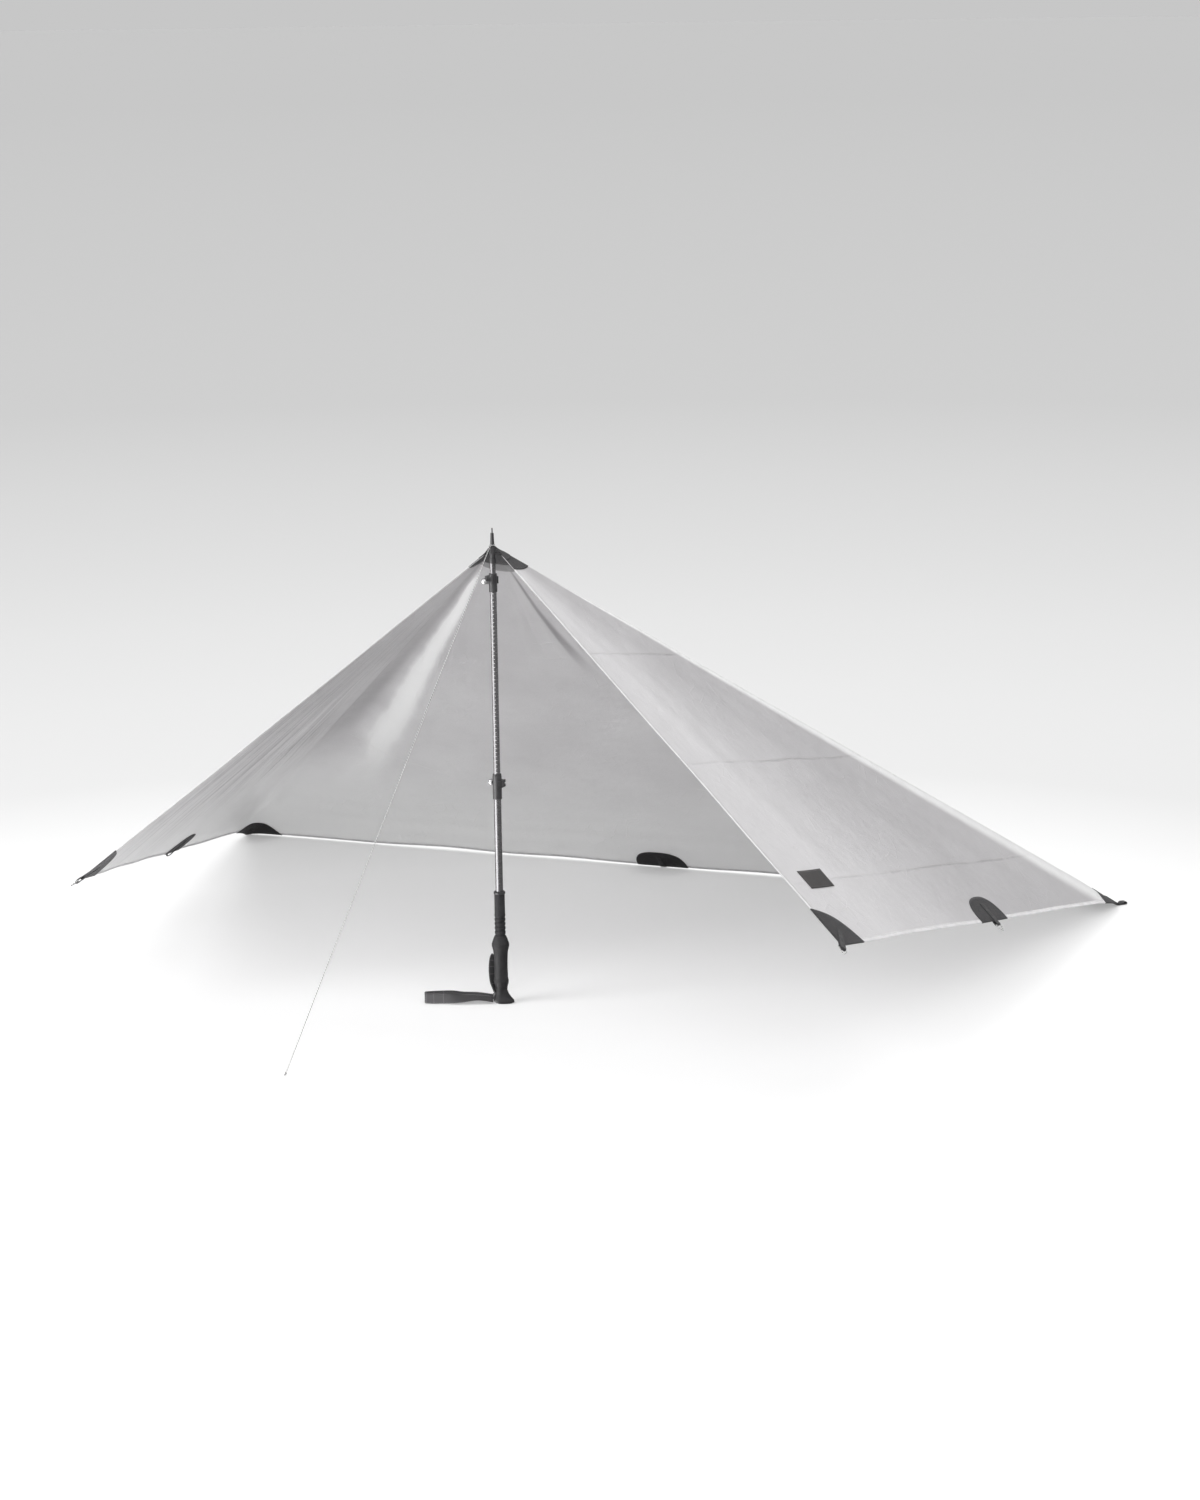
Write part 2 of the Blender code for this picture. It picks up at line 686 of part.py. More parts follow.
def build_cord_loops(materials):
    corner = math.sqrt(0.5)
    line = materials["cord"]
    for side, hand in ((LEFT, "left"), (RIGHT, "right")):
        edge = side * HALF_WIDTH
        add_cord_loop(f"cord_loop_front_{hand}", edge, 0, (side * corner, -corner), line)
    add_cord_loop("cord_loop_side_right", HALF_WIDTH, TARP_DEPTH / 2, (1, 0), line)


def ferrule_radius(height):
    share = (height - FERRULE_FOOT - FERRULE_SKIRT_HEIGHT) / (FERRULE_TOP - FERRULE_FOOT - FERRULE_SKIRT_HEIGHT)
    return FERRULE_SHOULDER + (FERRULE_NOSE - FERRULE_SHOULDER) * share


def knot_profile(radius, foot, top, wraps=3):
    """A barrel knot: rounded wraps side by side on a core."""
    points, pitch = [(0, foot), (radius * 0.6, foot)], (top - foot) / wraps
    for wrap in range(wraps):
        for step in range(1, 5):
            turn = math.pi * step / 5
            height = foot + pitch * (wrap + step / 5)
            points.append((radius * (0.62 + 0.38 * math.sin(turn)), height))
    points += [(radius * 0.6, top), (0, top)]
    return points


def build_guyline(materials):
    line = materials["cord"]
    ring_radius = ferrule_radius(GUY_LOOP_HEIGHT) + SEAT_GAP + CORD_DIAMETER / 2
    turns = [2 * math.pi * k / 20 for k in range(20)]
    ring = [(ring_radius * math.cos(a), ring_radius * math.sin(a), GUY_LOOP_HEIGHT) for a in turns]
    cord("guyline_top_loop", ring, line, CORD_DIAMETER, closed=True, resolution=1)
    heading = Vector((GUY_FOOT.x, GUY_FOOT.y, 0)).normalized()
    knot_radius, knot_length = 1.25 * CORD_DIAMETER, 5 * CORD_DIAMETER
    foot = GUY_FOOT + Vector((0, 0, knot_radius * 1.2))
    hold = heading * (ring_radius + SEAT_GAP) + Vector((0, 0, GUY_LOOP_HEIGHT))
    along = (foot - hold).normalized()
    top = hold + along * (CORD_DIAMETER / 2 + SEAT_GAP)
    for name, start in (("guyline_top_knot", top), ("guyline_end_knot", foot - along * knot_length)):
        bm = lathe(knot_profile(knot_radius, 0, knot_length), sides=12)
        turn = Vector((0, 0, 1)).rotation_difference(along).to_matrix()
        bmesh.ops.rotate(bm, verts=bm.verts, matrix=turn)
        bmesh.ops.translate(bm, verts=bm.verts, vec=start)
        add_object(name, bm, line, 40)
    start = top + along * (knot_length + SEAT_GAP)
    end = foot - along * (knot_length + SEAT_GAP)
    points = [start.lerp(end, k / 24) for k in range(25)]
    cord("guyline", points, line, CORD_DIAMETER)


# The peak's sleeve and cap
def cap_section(angle):
    """The cap along one ray: its points on the patch, then up to the sleeve, low side and high side."""
    u, v = math.sin(angle), math.cos(angle)
    low = PATCH_FACE + 2 * SEAT_GAP
    high = low + PATCH_THICKNESS
    sides = []
    reach = ferrule_radius(CAP_TOP) + WEBBING_THICKNESS + 2 * SEAT_GAP
    for offset, thick in ((low, 0.0), (high, PATCH_THICKNESS)):
        skirt = [on_sheet(u * r, v * r, offset) for r in (CAP_SKIRT, 0.8 * CAP_SKIRT, PEAK_HOLE)]
        ring = Vector(((reach + thick) * u, (reach + thick) * v, CAP_TOP))
        rise = skirt[-1].lerp(ring, 0.55) - Vector((0, 0, 0.0022))
        near = skirt[-1].lerp(ring, 0.85) - Vector((0, 0, 0.0014))
        sides.append([*skirt, rise, near, ring])
    return sides[0] + sides[1][::-1]


def build_peak(materials):
    """A webbing sleeve round the ferrule, and a cap that rises to it from the outer patch."""
    foot = ferrule_radius(SLEEVE_FOOT) + SEAT_GAP
    top = ferrule_radius(SLEEVE_TOP) + SEAT_GAP
    profile = [
        (foot, SLEEVE_FOOT),
        (foot + WEBBING_THICKNESS, SLEEVE_FOOT),
        (top + WEBBING_THICKNESS, SLEEVE_TOP),
        (top, SLEEVE_TOP),
    ]
    add_object("peak_sleeve", lathe(profile), materials["webbing"], 40)
    half_fold = math.radians(FOLD_WIDTH_DEG) / 2
    steps = round(90 / CAP_STEP_DEG)
    angles = {math.radians(CAP_STEP_DEG) * k for k in range(steps + 1)}
    angles |= {CORNER_ANGLE - half_fold, CORNER_ANGLE, CORNER_ANGLE + half_fold}
    half = sorted(angles)
    everything = [-a for a in reversed(half[1:])] + half
    add_object("peak_cap", loft([cap_section(a) for a in everything]), materials["patch"])


# The pole
def build_tip(materials):
    foot, top = FERRULE_TOP + SEAT_GAP, FERRULE_TOP + TIP_LENGTH
    point = [(0, foot), (TIP_RADIUS, foot), (TIP_RADIUS, top - 0.001), (TIP_RADIUS * 0.6, top), (0, top)]
    add_object("tip_insert", lathe(point, sides=12), materials["steel"], 40)
    seat = LOWER_SHAFT_RADIUS + SEAT_GAP
    shaft_end = FERRULE_FOOT + FERRULE_SKIRT_HEIGHT - 0.003
    profile = [
        (seat, FERRULE_FOOT),
        (FERRULE_SKIRT, FERRULE_FOOT),
        (FERRULE_SKIRT, FERRULE_FOOT + FERRULE_SKIRT_HEIGHT - 0.002),
        (FERRULE_SHOULDER, FERRULE_FOOT + FERRULE_SKIRT_HEIGHT),
        (FERRULE_NOSE, FERRULE_TOP),
        (0, FERRULE_TOP),
        (0, shaft_end + SEAT_GAP),
        (seat, shaft_end + SEAT_GAP),
    ]
    rolled = profile[5:] + profile[:5]
    add_object("tip_ferrule", lathe(rolled[1:] + rolled[:1]), materials["plastic"], 40)
    return shaft_end


def add_bush(name, foot, shaft_radius, bore_radius, material):
    """A guide plug: a flange that runs in the next tube's bore and a stem in its own tube."""
    stem = shaft_radius - TUBE_WALL - SEAT_GAP
    flange = bore_radius - RUNNING_GAP
    profile = [
        (0, foot - BUSH_FLANGE),
        (flange, foot - BUSH_FLANGE),
        (flange, foot - SEAT_GAP),
        (stem, foot - SEAT_GAP),
        (stem, foot + BUSH_STEM),
        (0, foot + BUSH_STEM),
    ]
    add_object(name, lathe(profile), material, 40)


def add_tube(name, radius, foot, top, material):
    add_object(name, lathe(tube_profile(radius, radius - TUBE_WALL, foot, top)), material, 40)


def build_shafts(materials, ferrule_seat):
    alloy, plastic = materials["shaft"], materials["plastic"]
    add_tube("lower_shaft", LOWER_SHAFT_RADIUS, LOWER_SHAFT_FOOT, ferrule_seat, alloy)
    add_tube("middle_shaft", MIDDLE_SHAFT_RADIUS, MIDDLE_SHAFT_FOOT, HIGH_LOCK_TOP - COLLAR_LIP, alloy)
    add_tube("upper_shaft", UPPER_SHAFT_RADIUS, UPPER_SHAFT_FOOT, LOW_LOCK_TOP - COLLAR_LIP, alloy)
    add_bush("lower_shaft_bush", LOWER_SHAFT_FOOT, LOWER_SHAFT_RADIUS, MIDDLE_SHAFT_RADIUS - TUBE_WALL, plastic)
    add_bush("middle_shaft_bush", MIDDLE_SHAFT_FOOT, MIDDLE_SHAFT_RADIUS, UPPER_SHAFT_RADIUS - TUBE_WALL, plastic)


def lever_outline(collar_radius, pin, reach_deg):
    """The lever from above: a cam round its pin and an arm that hugs the collar."""
    inner, outer = collar_radius + 2 * SEAT_GAP, collar_radius + 2 * SEAT_GAP + LEVER_THICKNESS
    points = []
    for k in range(13):
        turn = math.radians(-20 + 220 * k / 12)
        points.append((pin.x + CAM_RADIUS * math.cos(turn), pin.y + CAM_RADIUS * math.sin(turn)))
    for k in range(8):
        turn = math.radians(28 - (28 + reach_deg) * k / 7)
        points.append((inner * math.cos(turn), inner * math.sin(turn)))
    for k in range(8):
        turn = math.radians(-reach_deg + (reach_deg + 12) * k / 7)
        points.append((outer * math.cos(turn), outer * math.sin(turn)))
    return points


def build_lock(name, foot, top, tube_radius, passing_radius, turn, materials):
    """A lever clamp: collar with two ears, bolt, pin, round nut and lever."""
    middle = (foot + top) / 2 + 0.006
    hub = make_empty(f"{name}_axis", turn=turn)
    bore, radius = tube_radius + SEAT_GAP, tube_radius + SEAT_GAP + COLLAR_WALL
    lip = top - COLLAR_LIP + SEAT_GAP
    profile = [
        (bore, foot),
        (radius, foot),
        (radius, lip + 0.001),
        (radius - 0.0008, top),
        (passing_radius + SEAT_GAP, top),
        (passing_radius + SEAT_GAP, lip),
        (bore, lip),
    ]
    collar = place(add_object(f"{name}_collar", lathe(profile), materials["plastic"], 40), hub)
    ear_top, ear_foot = middle + EAR_HEIGHT / 2, middle - EAR_HEIGHT / 2
    ear = block((-EAR_OUTER, radius - COLLAR_WALL, ear_foot), (EAR_OUTER, radius + EAR_REACH, ear_top))
    add_boolean(collar, ear, "UNION")
    slit = block((-EAR_SLIT / 2, 0, foot - 0.001), (EAR_SLIT / 2, radius + EAR_REACH + 0.001, lip - 0.001))
    add_boolean(collar, slit, "DIFFERENCE")
    bolt_y = radius + BOLT_OFFSET
    hole = lathe(
        rod_profile(BOLT_RADIUS + SEAT_GAP, -EAR_OUTER - 0.001, EAR_OUTER + 0.001),
        sides=12, centre=(0, bolt_y, middle), axis="X",
    )
    add_boolean(collar, hole, "DIFFERENCE")
    pin = Vector((EAR_OUTER + SEAT_GAP + CAM_RADIUS, bolt_y, middle))
    nut_face = -EAR_OUTER - SEAT_GAP
    bolt_end = nut_face - NUT_NECK_LENGTH
    shank = lathe(
        rod_profile(BOLT_RADIUS, bolt_end, pin.x - 0.001),
        sides=12, centre=(0, bolt_y, middle), axis="X",
    )
    bolt = place(add_object(f"{name}_bolt", shank, materials["steel"], 40), hub)
    eye = lathe(
        rod_profile(CAM_RADIUS * 0.72, -BOLT_EYE / 2, BOLT_EYE / 2), sides=16, centre=pin
    )
    add_boolean(bolt, eye, "UNION")
    pin_hole = lathe(rod_profile(PIN_RADIUS + SEAT_GAP, -BOLT_EYE, BOLT_EYE), sides=12, centre=pin)
    add_boolean(bolt, pin_hole, "DIFFERENCE")
    half = LEVER_HEIGHT / 2
    place(
        add_object(
            f"{name}_pin", lathe(rod_profile(PIN_RADIUS, -half, half), sides=12, centre=pin),
            materials["steel"], 40,
        ),
        hub,
    )
    outline = lever_outline(radius, pin, LEVER_WRAP_DEG)
    lever = add_object(f"{name}_lever", prism(outline, middle - half, middle + half), materials["plastic"], 40)
    place(lever, hub)
    slot = lathe(
        rod_profile(CAM_RADIUS + 0.0012, -LEVER_SLOT / 2, LEVER_SLOT / 2), sides=16, centre=pin
    )
    add_boolean(lever, slot, "DIFFERENCE")
    add_boolean(
        lever,
        lathe(rod_profile(PIN_RADIUS + SEAT_GAP, -half - 0.001, half + 0.001), sides=12, centre=pin),
        "DIFFERENCE",
    )
    ball = NUT_BALL_RADIUS
    bore = BOLT_RADIUS + SEAT_GAP
    nut_profile = [(bore, nut_face), (NUT_NECK_RADIUS, nut_face), (NUT_NECK_RADIUS, bolt_end + 0.001)]
    centre = bolt_end - ball * 0.9
    for k in range(1, 9):
        a = math.radians(28 + (180 - 28) * k / 9)
        nut_profile.append((ball * math.sin(a), centre + ball * math.cos(a)))
    nut_profile += [(0, centre - ball), (0, bolt_end - SEAT_GAP), (bore, bolt_end - SEAT_GAP)]
    start = nut_profile.index((0, centre - ball))
    turned = nut_profile[start + 1 :] + nut_profile[: start + 1]
    nut = add_object(
        f"{name}_nut", lathe(turned, sides=16, centre=(0, bolt_y, middle), axis="X"), materials["steel"], 40
    )
    place(nut, hub)


# Grip
def handle_profile(bore):
    """The moulded handle from its neck to the thumb bulge."""
    foot, top = GRIP_HEAD_HEIGHT + SEAT_GAP, HANDLE_TOP
    return [
        (bore, foot),
        (GRIP_NECK_RADIUS, foot),
        (GRIP_NECK_RADIUS + 0.0006, foot + 0.007),
        (HANDLE_RADIUS + 0.0010, foot + 0.017),
        (HANDLE_RADIUS + 0.0016, foot + 0.022),
        (HANDLE_RADIUS, foot + 0.030),
        (HANDLE_RADIUS - 0.0006, foot + 0.052),
        (HANDLE_RADIUS - 0.0003, foot + 0.074),
        (HANDLE_RADIUS + 0.0004, foot + 0.092),
        (HANDLE_RADIUS + 0.0014, foot + 0.100),
        (BULGE_RADIUS, BULGE_HEIGHT - 0.002),
        (BULGE_RADIUS, BULGE_HEIGHT + 0.003),
        (EXTENSION_RADIUS + 0.0045, top - 0.008),
        (EXTENSION_RADIUS + 0.0012, top),
        (bore, top),
    ]


def extension_profile(bore):
    """The ribbed sleeve above the handle, then its smooth length."""
    foot = HANDLE_TOP + SEAT_GAP
    points = [(bore, foot), (EXTENSION_RADIUS, foot)]
    pitch = (RIB_BAND_TOP - foot) / RIB_COUNT
    for rib in range(RIB_COUNT):
        start = foot + pitch * rib
        for share, depth in ((0.10, 0), (0.22, 1), (0.34, 1), (0.46, 0), (0.9, -0.35)):
            points.append((EXTENSION_RADIUS - RIB_DEPTH * depth, start + pitch * share))
    points += [
        (EXTENSION_RADIUS, RIB_BAND_TOP + 0.002),
        (EXTENSION_RADIUS - 0.0002, EXTENSION_TOP - 0.003),
        (EXTENSION_RADIUS - 0.0012, EXTENSION_TOP),
        (bore, EXTENSION_TOP),
    ]
    return points


def head_section(height, radius, beak, points=ROUND_SIDES):
    """An oval ring whose right side is drawn out into the beak."""
    ring = []
    for k in range(points):
        turn = 2 * math.pi * k / points
        reach = radius + beak * max(math.cos(turn), 0) ** 2
        ring.append((reach * math.cos(turn), GRIP_OVAL * radius * math.sin(turn), height))
    return ring


def build_grip(materials):
    rubber, foam, plastic = materials["rubber"], materials["foam"], materials["plastic"]
    bore = UPPER_SHAFT_RADIUS + SEAT_GAP
    add_object("grip_handle", lathe(handle_profile(bore), oval=1.0), rubber, 40)
    add_object("grip_extension", lathe(extension_profile(bore)), foam, 40)
    foot = EXTENSION_TOP + SEAT_GAP
    lip = foot + GRIP_RING_HEIGHT
    ring = [
        (bore, foot),
        (GRIP_RING_RADIUS, foot),
        (GRIP_RING_RADIUS, lip - 0.0015),
        (GRIP_RING_RADIUS - 0.0015, lip),
        (bore, lip),
    ]
    add_object("grip_ring", lathe(ring), plastic, 40)
    head = GRIP_HEAD_RADIUS
    sections = [
        head_section(0.0, head * 0.86, GRIP_BEAK * 0.80),
        head_section(0.0030, head, GRIP_BEAK),
        head_section(0.0080, head * 1.02, GRIP_BEAK * 0.92),
        head_section(0.0150, head * 0.93, GRIP_BEAK * 0.50),
        head_section(0.0235, head * 0.82, GRIP_BEAK * 0.18),
        head_section(GRIP_HEAD_HEIGHT - 0.003, GRIP_NECK_RADIUS + 0.0006, 0.0),
        head_section(GRIP_HEAD_HEIGHT, GRIP_NECK_RADIUS, 0.0),
    ]
    grip = add_object("grip_head", loft(sections), rubber, 40)
    face, half = -GRIP_HEAD_RADIUS, WEDGE_WIDTH / 2
    pocket = block(
        (face - 0.01, -half - SEAT_GAP, WEDGE_FOOT - SEAT_GAP),
        (face + WEDGE_DEPTH + SEAT_GAP, half + SEAT_GAP, WEDGE_TOP + SEAT_GAP),
    )
    add_boolean(grip, pocket, "DIFFERENCE")
    lead = WEDGE_DEPTH * 0.4
    side = [
        (face + 0.0006, WEDGE_FOOT + 0.001),
        (face + 0.0016, WEDGE_FOOT),
        (face + WEDGE_DEPTH, WEDGE_FOOT),
        (face + WEDGE_DEPTH, WEDGE_TOP),
        (face + lead, WEDGE_TOP),
        (face + 0.0006, WEDGE_TOP - lead),
    ]
    wedge = loft([[(x, y, z) for x, z in side] for y in (-half, half)])
    add_object("strap_wedge", wedge, plastic)


def build_strap(materials):
    """The wrist strap: a loop on the ground beside the grip, and its free end behind the handle."""
    out = Vector((-0.944, -0.331, 0))
    side = Vector((-0.331, 0.944, 0))
    up = Vector((0, 0, 1))
    start = 1.02 * GRIP_HEAD_RADIUS + SEAT_GAP
    half = STRAP_WIDTH / 2

    def lean(share):
        """The width's direction, from nearly flat at the grip to upright at the far end."""
        turn = math.radians(18 + 66 * min(1.0, share * 1.35))
        return (up * math.sin(turn) + side * math.cos(turn)).normalized()

    stations = []
    for share, swing in ((0.0, 0.006), (0.22, 0.008), (0.45, 0.010), (0.68, 0.010), (0.86, 0.009), (0.96, 0.0062)):
        across = lean(share)
        height = half * across.z + STRAP_THICKNESS
        stations.append((out * (start + (STRAP_REACH - start) * share) + side * -swing + up * height, across))
    far = stations[-1][0] + side * 0.0062
    for turn in (-50, 0, 50):
        a = math.radians(turn)
        stations.append((far + out * 0.0055 * math.cos(a) + side * 0.0062 * math.sin(a), lean(1.0)))
    for share, swing in ((0.96, 0.0062), (0.86, 0.009), (0.68, 0.010), (0.45, 0.0115), (0.22, 0.012), (0.0, 0.012)):
        across = lean(share)
        height = half * across.z + STRAP_THICKNESS
        stations.append((out * (start + (STRAP_REACH - start) * share) + side * swing + up * height, across))
    add_object("wrist_strap", ribbon(stations, STRAP_WIDTH, STRAP_THICKNESS), materials["webbing"])
    path = [
        (0.0173, 0.0000, WEDGE_TOP + 0.0010),
        (0.0180, 0.0004, GRIP_HEAD_HEIGHT + 0.003),
        (0.0225, 0.0030, 0.054),
        (0.0265, 0.0055, 0.078),
        (0.0262, 0.0080, 0.096),
        (0.0225, 0.0125, 0.108),
        (0.0160, 0.0190, 0.1125),
        (0.0085, 0.0232, 0.106),
        (0.0035, 0.0240, 0.090),
        (0.0030, 0.0238, 0.066),
    ]
    stations = []
    for left, back, height in path:
        from_axis = out * left + side * back
        stations.append((from_axis + up * height, up.cross(from_axis).normalized()))
    tail = ribbon(stations, STRAP_TAIL_WIDTH, STRAP_THICKNESS)
    add_object("strap_tail", tail, materials["webbing"])


def main():
    clear_scene()
    materials = {
        "cloth": make_material("laminate", (0.70, 0.69, 0.70), 0.45),
        "patch": make_material("patch_fabric", (0.045, 0.043, 0.047), 0.75),
        "label": make_material("label_fabric", (0.030, 0.029, 0.031), 0.70),
        "webbing": make_material("webbing", (0.035, 0.034, 0.037), 0.80),
        "cord": make_material("flecked_cord", (0.45, 0.45, 0.45), 0.70),
        "shaft": make_material("anodised_alloy", (0.060, 0.058, 0.062), 0.35, 0.9),
        "plastic": make_material("black_plastic", (0.035, 0.034, 0.036), 0.45),
        "steel": make_material("bright_steel", (0.60, 0.60, 0.60), 0.30, 1.0),
        "rubber": make_material("grip_rubber", (0.060, 0.058, 0.062), 0.70),
        "foam": make_material("grip_foam", (0.050, 0.048, 0.052), 0.85),
    }
    build_sheet(materials)
    build_loops(materials)
    build_cord_loops(materials)
    build_guyline(materials)
    build_peak(materials)
    ferrule_seat = build_tip(materials)
    build_shafts(materials, ferrule_seat)
    build_lock("low_lock", LOW_LOCK_FOOT, LOW_LOCK_TOP, UPPER_SHAFT_RADIUS, MIDDLE_SHAFT_RADIUS, 0.0, materials)
    high_turn = math.radians(HIGH_LOCK_TURN_DEG)
    build_lock("high_lock", HIGH_LOCK_FOOT, HIGH_LOCK_TOP, MIDDLE_SHAFT_RADIUS, LOWER_SHAFT_RADIUS, high_turn, materials)
    build_grip(materials)
    build_strap(materials)


main()
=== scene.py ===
# %% [markdown]
# # A camping tarp pitched over an upturned trekking pole
#
# The tarp is one flat rectangle of thin laminate, 2.60 by 1.70 m. The middle of its front
# edge hangs on the tip of a trekking pole, its back edge is pegged along the ground, and its
# two front corners stand free. We open the packed solid model first. Every piece made below
# sits where its solid sits, and rides on the same moving body.

# %% Open the solid model
import math

import bpy
import numpy as np
from mathutils import Matrix, Vector


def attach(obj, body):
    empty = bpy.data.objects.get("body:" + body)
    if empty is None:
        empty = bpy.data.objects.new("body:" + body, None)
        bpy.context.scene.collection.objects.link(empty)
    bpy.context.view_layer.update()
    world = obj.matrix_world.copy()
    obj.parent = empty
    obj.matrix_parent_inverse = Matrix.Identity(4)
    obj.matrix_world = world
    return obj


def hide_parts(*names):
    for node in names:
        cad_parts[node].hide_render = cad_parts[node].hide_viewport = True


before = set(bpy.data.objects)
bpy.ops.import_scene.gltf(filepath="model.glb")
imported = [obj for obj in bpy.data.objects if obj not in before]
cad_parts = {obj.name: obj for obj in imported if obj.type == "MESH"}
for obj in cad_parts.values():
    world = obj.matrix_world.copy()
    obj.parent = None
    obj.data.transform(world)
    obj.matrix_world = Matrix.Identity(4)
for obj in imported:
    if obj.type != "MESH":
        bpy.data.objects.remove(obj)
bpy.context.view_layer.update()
scene = bpy.context.scene
scene.view_settings.view_transform = "Standard"

# %% [markdown]
# ## The camera
#
# The picture was taken from about 8 m away with a long lens, a little above the peak. The
# place, the turn and the lens below come from matching eleven points of the tarp with the
# photograph. Yaw turns the camera about the vertical, pitch tilts it down and roll levels it.

# %% Set the camera
CAMERA_PLACE = Vector((2.688803, -6.915059, 2.409186))
YAW, PITCH, ROLL = -0.33707068, 0.23468955, -0.01271587
SENSOR_LONG_SIDE, LENS = 36.0, 75.59

level = Vector((math.cos(YAW), -math.sin(YAW), 0))
flat_ahead = Vector((math.sin(YAW), math.cos(YAW), 0))
ahead = flat_ahead * math.cos(PITCH) - Vector((0, 0, math.sin(PITCH)))
upright = level.cross(ahead)
right = level * math.cos(ROLL) + upright * math.sin(ROLL)
above = upright * math.cos(ROLL) - level * math.sin(ROLL)
turn = Matrix((right, above, -ahead)).transposed()


def add_object(name, data):
    """Puts a mesh, a lamp or a camera into the scene."""
    added = bpy.data.objects.new(name, data)
    scene.collection.objects.link(added)
    return added


camera = add_object("camera", bpy.data.cameras.new("camera"))
camera.data.sensor_width, camera.data.lens = SENSOR_LONG_SIDE, LENS
camera.matrix_world = Matrix.Translation(CAMERA_PLACE) @ turn.to_4x4()
scene.camera = camera
print("camera", [round(v, 3) for v in CAMERA_PLACE])

# %% [markdown]
# ## Making a mesh that remembers its own places
#
# Cloth, webbing and cord carry patterns that follow the thread, not the room. So each of
# them is a grid of points with one extra value set per point, called `place`: how far the
# point lies along and across the flat piece, in metres. Materials read it as an attribute.
# A grid is made by code, because cloth and cord are the pieces that no primitive comes close
# to. Cloth is then given its thickness by Solidify, applied as the last step.

# %% Helpers for grids
def only(piece):
    """Makes one piece the selected and active one."""
    bpy.ops.object.select_all(action="DESELECT")
    piece.select_set(True)
    bpy.context.view_layer.objects.active = piece


def grid_piece(name, points, places, finish, thickness=None, closed=(False, False), caps=False):
    """A grid of rows and columns of points. places gives each point's place on the flat piece.
    closed says whether the last row, and the last column, joins the first."""
    points, places = np.array(points), np.array(places)
    rows, columns = points.shape[:2]
    index = np.arange(rows * columns).reshape(rows, columns)
    if closed[0]:
        index = np.vstack([index, index[:1]])
    if closed[1]:
        index = np.hstack([index, index[:, :1]])
    quads = np.stack([index[:-1, :-1], index[:-1, 1:], index[1:, 1:], index[1:, :-1]], -1)
    faces = quads.reshape(-1, 4).tolist()
    if caps:
        faces += [index[0, :columns].tolist(), index[-1, :columns][::-1].tolist()]
    mesh = bpy.data.meshes.new(name)
    mesh.from_pydata(points.reshape(-1, 3).tolist(), [], faces)
    attribute = mesh.attributes.new("place", "FLOAT_VECTOR", "POINT")
    attribute.data.foreach_set("vector", places.reshape(-1).astype(np.float32))
    mesh.shade_smooth()
    mesh.materials.append(finish)
    piece = add_object(name, mesh)
    if thickness:
        only(piece)
        modifier = piece.modifiers.new("solidify", "SOLIDIFY")
        modifier.thickness, modifier.offset = thickness, 0.0
        bpy.ops.object.modifier_apply(modifier=modifier.name)
    return piece


def stands_for(piece, node, body="canopy"):
    """Hides the solid that a piece stands for, and makes the piece ride on a body."""
    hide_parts(node)
    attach(piece, body)
    return piece


print("grids carry the attribute place")

# %% [markdown]
# ## Shared effects
#
# Materials are trees of nodes. `Value` stands for what one node hands to the next, so that
# plain arithmetic on it adds the math nodes. Several finishes share an effect: fine grain in
# moulded plastic, a weave in cloth, worn edges. Each effect is one node group with named
# sockets, built once and placed in each material with its own values. A group gives out only
# a mask or a height. The shader's plain numbers are set on its own sockets.

# %% A value and its arithmetic
class Value:
    """What a node hands on. a | b is the larger of two values."""

    def __init__(self, nodes, socket):
        self.nodes, self.socket = nodes, socket

    def __add__(self, other):
        return self.nodes.math("ADD", self, other)

    def __sub__(self, other):
        return self.nodes.math("SUBTRACT", self, other)

    def __rsub__(self, other):
        return self.nodes.math("SUBTRACT", other, self)

    def __mul__(self, other):
        return self.nodes.math("MULTIPLY", self, other)

    def __truediv__(self, other):
        return self.nodes.math("DIVIDE", self, other)

    def __rtruediv__(self, other):
        return self.nodes.math("DIVIDE", other, self)

    def __pow__(self, power):
        return self.nodes.math("POWER", self, power)

    def __or__(self, other):
        return self.nodes.math("MAXIMUM", self, other)

    def __abs__(self):
        return self.nodes.math("ABSOLUTE", self)

    def sine(self):
        return self.nodes.math("SINE", self)

    def outputs(self):
        """All that the same node hands on, by name."""
        return {s.name: Value(self.nodes, s) for s in self.socket.node.outputs}

    def parts(self):
        """The three parts of a vector."""
        return self.nodes.add("ShaderNodeSeparateXYZ", {0: self}).outputs().values()

    def noise(self, scale, detail=2.0, roughness=0.5):
        """A cloudy pattern that follows a place."""
        inputs = {"Vector": self, "Scale": scale, "Detail": detail, "Roughness": roughness}
        return self.nodes.add("ShaderNodeTexNoise", inputs)

    def ramp(self, low, high, to_low=0.0, to_high=1.0, kind="SMOOTHSTEP"):
        """Goes from to_low to to_high while the value goes from low to high."""
        inputs = {0: self, 1: low, 2: high, 3: to_low, 4: to_high}
        return self.nodes.add("ShaderNodeMapRange", inputs, interpolation_type=kind)

    def band(self, middle, core, edge):
        """1 within core of the middle, falling to 0 at edge from it."""
        return abs(self - middle).ramp(core, edge, 1.0, 0.0)


def strongest(masks):
    masks = list(masks)
    found = masks[0]
    for mask in masks[1:]:
        found = found | mask
    return found


print("arithmetic on values adds math nodes")


